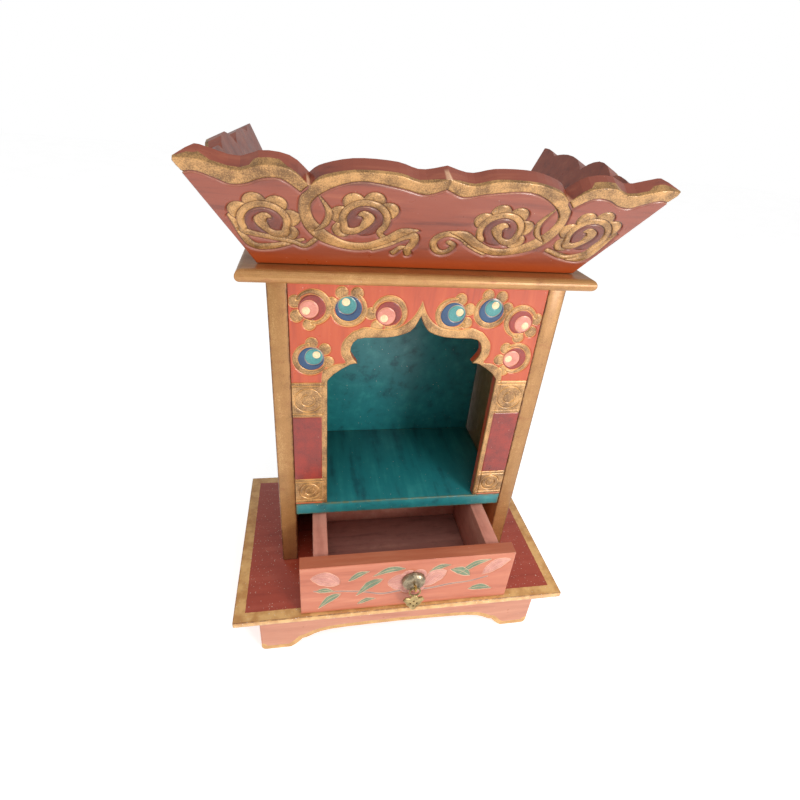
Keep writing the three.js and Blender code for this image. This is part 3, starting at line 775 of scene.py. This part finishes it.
@dataclass(frozen=True)
class BoardPaint:
    """Painted or bare finish of a plain board, worn along its edges."""

    name: str
    tones: tuple[Tone, Tone, Tone]
    grain: Grain
    worn: Tone
    wear: float = 0.0016
    broken: float = 0.8
    speckled: float = 0.0
    metallic: float = 0.0
    roughness: float = 0.45
    coat: float = 0.0
    bump: float = 0.15
    scale: float = 80.0
    specks: float = 0.2
    border: tuple[float, Tone, Tone] | None = None
    rubbed: Tone | None = None

    def make(self, shelf: Shelf, node: str) -> bpy.types.Material:
        """Builds the material for one board.

        Args:
            shelf: the shader groups.
            node: the board, whose box places the wear.

        Returns:
            The finished material.
        """
        material, bench, surface = new_material(f"{self.name}_{node}")
        low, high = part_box(node)
        grain = bench.group(shelf.grain, along=self.grain.value, scale=self.scale)
        flakes = bench.group(shelf.speckle, fineness=1.0)
        dust = bench.group(shelf.dust, amount=self.specks)
        edge = bench.group(shelf.edge, low=tuple(low), high=tuple(high), width=self.wear, broken=self.broken)
        dark, middle, light = self.tones
        mottle = bench.between(self.speckled, grain.outputs["Streak"], flakes.outputs["Flake"])
        mottle = bench.between(0.25, mottle, flakes.outputs["Patch"])
        colour = bench.blend(bench.spread(mottle, 0.3, 0.5), dark, middle)
        colour = bench.blend(bench.spread(mottle, 0.5, 0.7), colour, light)
        if self.rubbed is not None:
            colour = bench.blend(bench.maths("MULTIPLY", dust.outputs["Rubs"], 0.7), colour, self.rubbed)
        if self.border is not None:
            width, shade, bright = self.border
            margin = bench.maths("MULTIPLY", edge.outputs["Border"], 1 / MM)
            mask = bench.group(shelf.painted, distance=bench.maths("SUBTRACT", margin, width), waver=1.2).outputs["Mask"]
            painted = bench.blend(bench.spread(flakes.outputs["Patch"], 0.35, 0.65), shade, bright)
            colour = bench.blend(mask, colour, painted)
        colour = bench.blend(edge.outputs["Mask"], colour, self.worn)
        colour = bench.blend(bench.maths("MULTIPLY", dust.outputs["Specks"], 0.6), colour, tone(240, 225, 205))
        bench.join(colour, surface.inputs["Base Color"])
        bench.join(
            bench.spread(mottle, 0.3, 0.7, self.roughness + 0.1, self.roughness - 0.08), surface.inputs["Roughness"],
        )
        surface.inputs["Metallic"].default_value = self.metallic
        surface.inputs["Coat Weight"].default_value = self.coat
        surface.inputs["Coat Roughness"].default_value = 0.25
        bump = bench.node("ShaderNodeBump")
        bump.inputs["Distance"].default_value = self.bump * MM
        bump.inputs["Strength"].default_value = 0.6
        bench.join(bench.between(self.speckled * 0.7, grain.outputs["Fibre"], flakes.outputs["Flake"]), bump.inputs["Height"])
        bench.join(bump.outputs[0], surface.inputs["Normal"])
        return material


@dataclass(frozen=True)
class CastMetal:
    """Cast metal, mottled by noise between a dull and a bright tone."""

    name: str
    dull: Tone
    bright: Tone
    roughness: float = 0.38

    def make(self, shelf: Shelf) -> bpy.types.Material:
        """Builds the material."""
        material, bench, surface = new_material(self.name)
        flakes = bench.group(shelf.speckle, fineness=1.6)
        mottle = bench.between(0.5, flakes.outputs["Patch"], flakes.outputs["Flake"])
        bench.join(bench.blend(bench.spread(mottle, 0.36, 0.62), self.dull, self.bright), surface.inputs["Base Color"])
        bench.join(
            bench.spread(mottle, 0.3, 0.7, self.roughness + 0.15, self.roughness - 0.1), surface.inputs["Roughness"],
        )
        surface.inputs["Metallic"].default_value = 0.9
        bump = bench.node("ShaderNodeBump")
        bump.inputs["Distance"].default_value = 0.1 * MM
        bump.inputs["Strength"].default_value = 0.5
        bench.join(flakes.outputs["Patch"], bump.inputs["Height"])
        bench.join(bump.outputs[0], surface.inputs["Normal"])
        return material


# ---------------------------------------------------------------- carving of the crown, the face panel and the drawer
def cloud(x: float, y: float, turn: int, tail: Sequence[Sequence[float]], size: float = 1.0) -> list[Layer]:
    """Lays out a spiral cloud with a scalloped edge.

    Args:
        x: across, of its middle.
        y: up, of its middle.
        turn: 1 winds counter-clockwise, -1 the mirror image.
        tail: points of the ribbon that runs into the ring.
        size: share of the full size.

    Returns:
        Its layers, the topmost first.
    """
    winding = [(16.2 * math.cos(math.radians(a)), 16.2 * math.sin(math.radians(a))) for a in range(-40, 216, 20)]
    winding += [(-14, -10), (-8, -11), (-2, -7.5), (1.5, -2), (2.5, 2), (-1, 6), (-4.5, 5)]
    points = [(x + turn * u * size, y + v * size) for u, v in winding]
    widths = tuple(w * size for w in (2.8,) * 13 + (3.6, 3.4, 2.6, 4.0, 4.6, 3.0, 1.2))
    ring = Stroke(curve([*tail, *points], 110), (2.2,) * len(tail) + widths)
    lobes = []
    for angle in (31, 74, 120, 166, 210):
        across = turn * 18.8 * size * math.cos(math.radians(angle))
        lobes.append(Disc(x + across, y + 18.8 * size * math.sin(math.radians(angle)), 7.8 * size))
    ground = Disc(x, y, 14.5 * size)
    return [Layer(ring, Paint.GILT), Layer(ground, Paint.DEEP, 0.5), *[Layer(lobe, Paint.GILT) for lobe in lobes]]


def crown_design() -> Design:
    """Lays out the crown's front: a broad wavy band, two loops, four clouds and small curls."""
    band = [(0, 79.7), (14, 74.2), (32, 78.3), (57, 82), (73, 78.3), (86.5, 69.7), (93.5, 60), (92, 48), (82, 36)]
    band += [(68, 27), (52, 26), (38, 33), (26, 42), (12, 41), (22, 35), (36, 25), (52, 18), (68, 18.5), (86, 25)]
    band += [(97, 36), (102, 50), (101, 66), (94.5, 76), (95, 100), (0, 100)]
    corner = [(100.5, 70), (109, 77.5), (116, 80.5), (126, 79), (136, 74.5), (146, 73.5), (155, 77.5), (167, 82)]
    corner += [(184, 82), (186, 120), (95, 120), (95, 76)]
    leaf = Stroke(curve([(88, 68), (81, 54), (83.3, 43), (91, 35.6)], 20), (0.6, 2.6, 2.6, 0.6))
    design = Design(2.7, 1.2)
    for shape in (leaf, Patch(curve(band, 150)), Patch(curve(corner, 60))):
        design.layers += design.mirrored_pair(Layer(shape, Paint.GILT))
    design.layers += cloud(-54.5, 48, 1, [(-30, 30), (-40, 33)])
    design.layers += cloud(51.8, 43.8, -1, [(28, 30), (37, 31)])
    design.layers += cloud(-127, 42, -1, [(-88, 30), (-98, 20), (-109, 24)])
    design.layers += cloud(127, 43, 1, [(100, 26), (118, 19), (134, 24)])
    ribbon = Stroke(curve([(100, 26.3), (123.5, 18.2), (139.3, 20.9), (149.9, 46.6)], 24), (1.6, 3.2, 3.2, 2.0))
    design.layers += design.mirrored_pair(Layer(ribbon, Paint.GILT))
    curls = (
        ([(-46, 20.5), (-34, 26.5), (-24, 33.5), (-16, 35), (-14.5, 28), (-18, 20), (-17.5, 16)], (3.0, 4.0, 3.6, 3.0)),
        ([(-18, 21), (-24, 22), (-29, 16)], (2.2, 2.4)),
        ([(46, 20.5), (34, 27), (24, 35), (14, 39), (5, 36), (1.5, 29), (4, 22), (10, 18.5), (16, 21), (18, 27), (14, 30)],
         (3.2, 3.0, 2.4)),
    )
    design.layers += [Layer(Stroke(curve(points, 40), widths), Paint.GILT) for points, widths in curls]
    design.layers += [Layer(Disc(-17, 16.5, 3.0), Paint.GILT), Layer(Disc(-29.5, 16.5, 2.6), Paint.GILT)]
    return design


def crown_side_design() -> Design:
    """Lays out a side of the crown: a wavy band over two clouds on a ribbon."""
    band = [(-38, 75), (-20, 68), (-4, 72), (12, 70), (36, 82), (57, 72), (86, 83), (109, 79), (128, 84)]
    outline = np.vstack([curve(band, 60), [(160, 84), (160, 130), (-70, 130), (-70, 75)]])
    ribbon = curve([(-8, 20), (12, 10), (40, 14), (62, 30), (86, 12), (112, 18), (126, 40)], 60)
    layers = [Layer(Patch(outline), Paint.GILT), *cloud(22, 42, 1, [(8, 30)], 0.9), *cloud(96, 46, -1, [(80, 34)], 0.9)]
    return Design(2.7, 1.2, [*layers, Layer(Stroke(ribbon, (2.6, 3.2, 2.6)), Paint.GILT)])


JEWELS = ((-93.7, 218.3, 210), (-63.4, 218.0, 113), (-28.8, 214.0, 230), (-95.2, 171.0, 38))
JEWELS_RIGHT = ((93.7, 207.9, -39), (63.4, 218.0, 60), (28.8, 214.0, 20), (95.2, 171.0, 185))


def panel_design() -> Design:
    """Lays out the face panel: a gilt arch band, painted jewels in vines, and blocks between ruled lines."""
    shoulder = [(86, 153.3), (81, 161.3), (73.5, 165.3), (65, 166.8), (68.5, 174.8), (69, 181.8), (67, 188.3), (60, 196.3)]
    crown = [(56, 198.3), (48, 201.3), (36.4, 199.5), (23, 200.3), (14, 204.3), (6.5, 211.8), (2.5, 219.3), (0, 225.9)]
    half = curve([(86, 100), *shoulder, *crown], 70)
    band = Patch(np.vstack([half, mirrored(half)[::-1], [(-86, -5), (86, -5)]]))
    design = Design(1.8, 0.9)
    for placed in (JEWELS, JEWELS_RIGHT):
        for index, (x, y, facing) in enumerate(placed):
            outer, inner = (Paint.RED, Paint.PINK) if index in (0, 2 if x < 0 else 3) else (Paint.BLUE, Paint.TEAL)
            to_x, to_y = math.cos(math.radians(facing)), math.sin(math.radians(facing))
            design.layers += [
                Layer(Disc(x + to_x * 6, y + to_y * 6, 3.4), Paint.CREAM, 0.4),
                Layer(Disc(x + to_x * 3.0, y + to_y * 3.0, 7.8), inner, 0.6),
                Layer(Disc(x, y, 11.5), outer),
            ]
    design.layers.append(Layer(band, Paint.GILT, 0.8))
    for placed in (JEWELS, JEWELS_RIGHT):
        for x, y, facing in placed:
            ring = Stroke(arc(x, y, 13.9, facing + 60, facing + 300, 40), (1.2, 2.4, 2.4, 1.2))
            design.layers.append(Layer(ring, Paint.GILT))
            for lean in (-50, 0, 50):
                angle = math.radians(facing + lean)
                design.layers.append(Layer(Disc(x + 15 * math.cos(angle), y + 15 * math.sin(angle), 5.4), Paint.GILT))
    for side in (-1, 1):
        middle = side * 98.5
        for foot, top in ((109.5, 146.5), (2.0, 33.5)):
            centre = (foot + top) / 2
            scroll = (top - foot) / 2 - 6
            design.lines += [
                (curve([(middle - 14, level), (middle + 14, level)], 2), 1.0) for level in (foot + 3.5, top - 3.5, top)
            ]
            design.lines += [
                (arc(middle, centre, scroll, 20, 340), 1.0), (arc(middle, centre, scroll * 0.5, 100, 400), 1.0),
            ]
            block = [(middle - 20, foot), (middle + 20, foot), (middle + 20, top), (middle - 20, top)]
            design.layers.append(Layer(Patch(np.array(block, float)), Paint.GILT, 0.6))
        strip = [(middle - 20, 33.5), (middle + 20, 33.5), (middle + 20, 109.5), (middle - 20, 109.5)]
        design.layers.append(Layer(Patch(np.array(strip, float)), Paint.RED, 0.3))
    return design


def leaf_shape(x0: float, y0: float, x1: float, y1: float, width: float) -> tuple[Stroke, np.ndarray]:
    """Draws a pointed leaf from its stalk to its tip, with its midrib."""
    lift = 0.12 * math.hypot(x1 - x0, y1 - y0)
    rib = curve([(x0, y0), ((x0 + x1) / 2, (y0 + y1) / 2 + lift), (x1, y1)], 14)
    return Stroke(rib, (0.4, width * 0.42, width * 0.5, width * 0.3, 0.2)), rib


def drawer_design() -> Design:
    """Lays out the drawer's face: a vine with pink buds and an open flower, and grey-green leaves."""
    vine = [(-96, 33), (-70, 30), (-50, 27), (-28, 21), (-8, 23), (20, 23), (44, 27), (66, 29), (84, 34)]
    buds = ((-72, 41, -99, 52, 19), (5, 30, -22, 36, 24), (16, 28, 38, 48, 18), (78, 38, 106, 58, 15))
    leaves = (
        (-70, 26, -92, 6, 9), (-28, 43, -54, 21, 10), (-6, 56, -38, 48, 8), (64, 38, 42, 49, 11), (20, 48, 42, 56, 7),
        (-94, 32, -76, 30, 7), (66, 16, 92, 14, 9), (-62, 44, -42, 56, 7), (-52, 8, -34, 14, 6), (52, 42, 84, 60, 8),
    )
    design = Design(1.5, 0.8)
    for x0, y0, x1, y1, width in buds:
        shape, rib = leaf_shape(x0, y0, x1, y1, width)
        for share in (0.3, 0.6):
            inner = Stroke(rib, tuple(w * share for w in shape.widths))
            design.layers.append(Layer(inner, Paint.PINK, 0.7))
        design.layers.append(Layer(shape, Paint.PINK))
    for angle in range(0, 360, 60):
        across, up = 4 + 11 * math.cos(math.radians(angle)), 36 + 11 * math.sin(math.radians(angle))
        design.layers.append(Layer(Disc(across, up, 7.5), Paint.PINK, 0.8))
    for leaf in leaves:
        shape, rib = leaf_shape(*leaf)
        design.layers.append(Layer(shape, Paint.LEAF))
        design.lines.append((rib, 0.8))
    design.layers.append(Layer(Stroke(curve(vine, 60), (0.9, 1.3, 0.9)), Paint.TEAL, 0.7))
    return design


def apron_design(outline: np.ndarray) -> Design:
    """Lays out a gilt band along the cut-out of an apron."""
    return Design(1.0, 0.35, [Layer(Stroke(outline, (6.0, 6.0)), Paint.GILT, 0.8)])


# ---------------------------------------------------------------- finishes of this cabinet
GOLD = (tone(120, 84, 44), tone(212, 160, 98))
BLUES = {Paint.BLUE: (tone(12, 52, 92), tone(24, 72, 112)), Paint.TEAL: (tone(44, 120, 120), tone(76, 150, 146))}
REDS = {
    Paint.RED: (tone(118, 30, 18), tone(160, 44, 26)), Paint.PINK: (tone(206, 122, 100), tone(226, 150, 130)),
    Paint.CREAM: (tone(225, 190, 140), tone(250, 225, 180)),
}
# each carved paint's groove tones are a painted highlight and a painted shade laid on the groove flanks
CROWN_PAINT = CarvedPaint(
    "crown_varnish", (tone(112, 52, 38), tone(146, 70, 48), tone(168, 92, 64)),
    {Paint.DEEP: (tone(96, 42, 30), tone(124, 56, 38)), Paint.GILT: GOLD},
    foot=tone(196, 84, 30), foot_height=0.014, groove_painted_highlight=tone(236, 190, 150), groove_painted_shade=tone(58, 24, 16),
)
PANEL_PAINT = CarvedPaint(
    "panel_paint", (tone(168, 60, 26), tone(192, 76, 32), tone(206, 96, 48)),
    {Paint.GILT: GOLD, **REDS, **BLUES}, grain=Grain.UP, groove_painted_highlight=tone(232, 170, 92), groove_painted_shade=tone(74, 20, 10),
)
DRAWER_PAINT = CarvedPaint(
    "drawer_paint", (tone(178, 92, 62), tone(198, 112, 80), tone(214, 134, 100)),
    {Paint.PINK: (tone(190, 122, 108), tone(224, 158, 142)), Paint.LEAF: (tone(92, 112, 82), tone(128, 148, 112)),
     Paint.TEAL: (tone(140, 110, 104), tone(168, 134, 122))},
    groove_painted_highlight=tone(238, 188, 156), groove_painted_shade=tone(110, 52, 34), coat=0.3, roughness=0.42,
)
APRON_PAINT = CarvedPaint(
    "apron_paint", (tone(176, 108, 80), tone(196, 128, 98), tone(212, 148, 116)), {Paint.GILT: (tone(188, 138, 78), tone(222, 178, 112))},
    groove_painted_highlight=tone(226, 184, 130), groove_painted_shade=tone(120, 70, 44), coat=0.3,
)
BRONZE = BoardPaint(
    "bronze_gilt", (tone(132, 90, 46), tone(172, 124, 70), tone(214, 168, 108)), Grain.UP, tone(96, 54, 30), 0.0022,
    speckled=0.5, metallic=0.35, roughness=0.42, coat=0.35, rubbed=tone(150, 84, 48),
)
CORNICE_PAINT = BoardPaint(
    "cornice_gilt", (tone(138, 92, 46), tone(182, 132, 76), tone(222, 172, 112)), Grain.ACROSS, tone(120, 66, 34), 0.0012,
    speckled=0.4, metallic=0.35, roughness=0.4, coat=0.35, rubbed=tone(150, 80, 46),
)
TEAL_PAINT = BoardPaint(
    "teal_paint", (tone(18, 92, 100), tone(32, 126, 130), tone(52, 146, 146)), Grain.DEEP, tone(98, 106, 66), 0.003,
    roughness=0.42, coat=0.3, specks=0.35,
)
RED_LACQUER = BoardPaint(
    "red_lacquer", (tone(150, 52, 34), tone(172, 68, 46), tone(188, 88, 66)), Grain.ACROSS, tone(120, 60, 34), 0.0016,
    roughness=0.35, coat=0.5, specks=0.6, border=(11.3, tone(204, 146, 80), tone(236, 186, 116)),
)
PALE_WOOD = BoardPaint(
    "drawer_wood", (tone(196, 124, 106), tone(218, 146, 126), tone(232, 172, 150)), Grain.DEEP, tone(176, 104, 82),
    0.0012, roughness=0.6, bump=0.22, rubbed=tone(190, 118, 98),
)
SAWN_WOOD = BoardPaint(
    "sawn_wood", (tone(132, 82, 72), tone(162, 106, 94), tone(184, 128, 112)), Grain.ACROSS, tone(120, 74, 62),
    0.001, roughness=0.7, bump=0.4, rubbed=tone(120, 78, 66),
)
BACK_WOOD = BoardPaint(
    "back_wood", (tone(108, 64, 46), tone(136, 84, 60), tone(160, 106, 78)), Grain.UP, tone(92, 54, 38),
    0.0014, roughness=0.62, bump=0.3, rubbed=tone(120, 72, 50),
)
PEWTER = CastMetal("pewter", tone(92, 84, 70), tone(176, 160, 132))
BRASS = CastMetal("brass", tone(150, 112, 48), tone(236, 198, 116), 0.28)
LEAF_BRASS = CastMetal("leaf_brass", tone(118, 100, 62), tone(196, 172, 118), 0.34)


# ---------------------------------------------------------------- sub-assemblies
def fit_in(piece: bpy.types.Object, node: str, body: str) -> None:
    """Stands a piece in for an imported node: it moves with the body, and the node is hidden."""
    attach(piece, body)
    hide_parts(node)
    LOG.info("%s stands for %s on %s", piece.name, node, body)


def put_finish(piece: bpy.types.Object, *materials: bpy.types.Material) -> None:
    """Gives a piece its materials, one for each of its slots."""
    piece.data.materials.clear()
    for material in materials:
        piece.data.materials.append(material)


@dataclass
class PlainBoards:
    """Boards without carving: each is eased along its edges and given its finish."""

    body: str
    easing: float
    boards: tuple[tuple[str, str, BoardPaint], ...]

    def build(self) -> list[bpy.types.Object]:
        """Builds every board."""
        return [eased_copy(node, self.easing) for node, _, _ in self.boards]

    def dress(self, pieces: Sequence[bpy.types.Object], shelf: Shelf) -> None:
        """Finishes the boards and fits them in."""
        for piece, (node, slot, paint) in zip(pieces, self.boards):
            put_finish(piece, paint.make(shelf, node))
            fit_in(piece, node, self.body)


@dataclass
class CarvedBoards:
    """Boards with carving: their painted faces, and the plain finish of their sides and backs."""

    body: str
    slot: str
    paint: CarvedPaint
    rest: BoardPaint
    boards: tuple[CarvedBoard, ...]

    def build(self) -> list[bpy.types.Object]:
        """Builds every board."""
        return [board.build() for board in self.boards]

    def dress(self, pieces: Sequence[bpy.types.Object], shelf: Shelf) -> None:
        """Finishes the boards and fits them in."""
        for piece, board in zip(pieces, self.boards):
            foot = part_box(board.node)[0].z
            put_finish(piece, self.paint.make(shelf, foot), self.rest.make(shelf, board.node))
            fit_in(piece, board.node, self.body)


@dataclass
class Castings:
    """Metal fittings of the drawer's pull, which keep their packed form."""

    fittings: tuple[tuple[str, CastMetal], ...]

    def dress(self, shelf: Shelf) -> None:
        """Gives each fitting its metal."""
        for node, metal in self.fittings:
            put_finish(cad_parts[node], metal.make(shelf))
            LOG.info("%s: %s", node, metal.name)


FRONT = Vector((0, -1, 0))


def panel_face() -> Face:
    """Returns the face panel's face, with its foot level with the shelf's top."""
    face = Face.of("face_panel", FRONT)
    foot = Vector((face.origin.x, face.origin.y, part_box("niche_floor")[1].z))
    return Face(foot, face.across, face.up, face.out)


def cutout_of(node: str, face: Face) -> np.ndarray:
    """Traces the foot of an apron's face: its cut-out, from one foot to the other."""
    flat = [face.flatten(v.co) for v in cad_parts[node].data.vertices]
    low = sorted({(round(x, 2), round(y, 2)) for x, y, z in flat if abs(z) < 0.1 and y < 50})
    return np.array(low)


def apron_board(node: str, facing: Vector) -> CarvedBoard:
    """Returns an apron with the gilt band along its cut-out."""
    face = Face.of(node, facing)
    return CarvedBoard(node, face, apron_design(cutout_of(node, face)), coarse=3.0, fine=0.8)


# ---------------------------------------------------------------- studio
@dataclass(frozen=True)
class Studio:
    """Pale floor, soft lights and the camera."""

    lens: float = 21.69
    eye: tuple[float, float, float] = (-0.09556, -0.41804, 0.51591)
    ahead: tuple[float, float, float] = (0.18080, 0.84001, -0.51156)
    upward: tuple[float, float, float] = (0.01638, 0.51749, 0.85554)

    def lay_floor(self) -> None:
        """Lays the floor under the feet."""
        mesh = bpy.data.meshes.new("floor")
        reach = 6.0
        corners = [(-reach, -reach, 0), (reach, -reach, 0), (reach, reach, 0), (-reach, reach, 0)]
        mesh.from_pydata(corners, [], [(0, 1, 2, 3)])
        floor = bpy.data.objects.new("floor", mesh)
        bpy.context.scene.collection.objects.link(floor)
        material, bench, surface = new_material("floor_paint")
        place = bench.node("ShaderNodeTexCoord").outputs["Object"]
        faint = bench.spread(bench.noise(place, 6.0), 0.3, 0.7)
        bench.join(bench.blend(faint, tone(244, 244, 244), tone(250, 250, 250)), surface.inputs["Base Color"])
        surface.inputs["Roughness"].default_value = 0.8
        surface.inputs["Emission Color"].default_value = (1, 1, 1, 1)
        surface.inputs["Emission Strength"].default_value = 0.6
        floor.data.materials.append(material)

    def light(self, name: str, place: Vector, target: Vector, size: float, power: float) -> None:
        """Hangs a soft square light that looks at a target."""
        data = bpy.data.lights.new(name, "AREA")
        data.size = size
        data.energy = power
        lamp = bpy.data.objects.new(name, data)
        bpy.context.scene.collection.objects.link(lamp)
        lamp.location = place
        lamp.rotation_euler = (target - place).to_track_quat("-Z", "Y").to_euler()

    def set_up(self) -> None:
        """Builds the whole studio."""
        scene = bpy.context.scene
        scene.view_settings.view_transform = "Standard"
        world = bpy.data.worlds.new("studio")
        world.use_nodes = True
        world.node_tree.nodes["Background"].inputs["Color"].default_value = (1, 1, 1, 1)
        bench = Bench(world.node_tree)
        seen = bench.node("ShaderNodeLightPath").outputs["Is Camera Ray"]
        bench.join(bench.between(seen, 0.42, 1.0), world.node_tree.nodes["Background"].inputs["Strength"])
        scene.world = world
        self.lay_floor()
        middle = Vector((0, 0, 0.2))
        self.light("key", Vector((0.82, -1.36, 0.62)), Vector((-0.03, 0, 0.24)), 0.45, 13)
        self.light("overhead", Vector((0.05, -0.75, 1.75)), middle, 1.1, 7)
        data = bpy.data.cameras.new("camera")
        data.lens = self.lens
        data.sensor_width = 36
        data.clip_start = 0.01
        camera = bpy.data.objects.new("camera", data)
        scene.collection.objects.link(camera)
        ahead, upward = Vector(self.ahead), Vector(self.upward)
        turned = Matrix((ahead.cross(upward).normalized(), upward, -ahead)).transposed()
        camera.matrix_world = Matrix.Translation(self.eye) @ turned.to_4x4()
        scene.camera = camera


def main() -> None:
    """Builds the cabinet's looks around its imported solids."""
    logging.basicConfig(level=logging.INFO, format="%(name)s %(message)s")
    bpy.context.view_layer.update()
    shelf = Shelf.stock()
    crown_side = crown_side_design()
    assemblies = (
        PlainBoards("cabinet", 0.9, (
            ("apron_back", "terracotta", BACK_WOOD), ("apron_left", "terracotta", SIDE_APRON),
            ("apron_right", "terracotta", SIDE_APRON), ("base_board", "red_lacquer", RED_LACQUER),
            ("side_board_left", "bronze_gilt", BRONZE), ("side_board_right", "bronze_gilt", BRONZE),
            ("back_panel", "teal", TEAL_PAINT), ("niche_floor", "teal", TEAL_PAINT),
        )),
        PlainBoards("drawer", 0.8, (
            ("drawer_side_left", "raw_wood", PALE_WOOD), ("drawer_side_right", "raw_wood", PALE_WOOD),
            ("drawer_back", "raw_wood", PALE_WOOD), ("drawer_bottom", "raw_wood", SAWN_WOOD),
        )),
        CarvedBoards("cabinet", "varnished", CROWN_PAINT, CROWN_BACK, (
            CarvedBoard("crown_front", Face.of("crown_front", FRONT), crown_design()),
            CarvedBoard("crown_right", Face.of("crown_right", Vector((1, 0, 0)), corner=True), crown_side, fine=0.8),
            CarvedBoard("crown_left", Face.of("crown_left", Vector((-1, 0, 0)), True, True), crown_side, fine=0.8),
        )),
        CarvedBoards("cabinet", "carved_face", PANEL_PAINT, TEAL_PAINT, (
            CarvedBoard("face_panel", panel_face(), panel_design(), fine=0.55),
        )),
        CarvedBoards("cabinet", "terracotta", APRON_PAINT, SIDE_APRON, (apron_board("apron_front", FRONT),)),
        CarvedBoards("drawer", "salmon", DRAWER_PAINT, PALE_WOOD, (
            CarvedBoard("drawer_front", Face.of("drawer_front", FRONT), drawer_design(), fine=0.5),
        )),
    )
    for assembly in assemblies:
        assembly.dress(assembly.build(), shelf)
    put_finish(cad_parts["cornice"], CORNICE_PAINT.make(shelf, "cornice"))
    Castings((("pull_rosette", PEWTER), ("pull_eye", BRASS), ("pull_drop", LEAF_BRASS))).dress(shelf)
    Studio().set_up()


SIDE_APRON = BoardPaint(
    "side_apron", (tone(176, 108, 80), tone(196, 128, 98), tone(212, 148, 116)), Grain.ACROSS, tone(206, 156, 96),
    0.003, roughness=0.42, coat=0.3, broken=0.5,
)
CROWN_BACK = BoardPaint(
    "crown_back", (tone(176, 160, 150), tone(204, 190, 180), tone(224, 212, 202)), Grain.ACROSS, tone(180, 96, 62),
    0.0026, roughness=0.6, broken=0.6, bump=0.25, rubbed=tone(178, 120, 96),
)

if __name__ == "__main__":
    main()
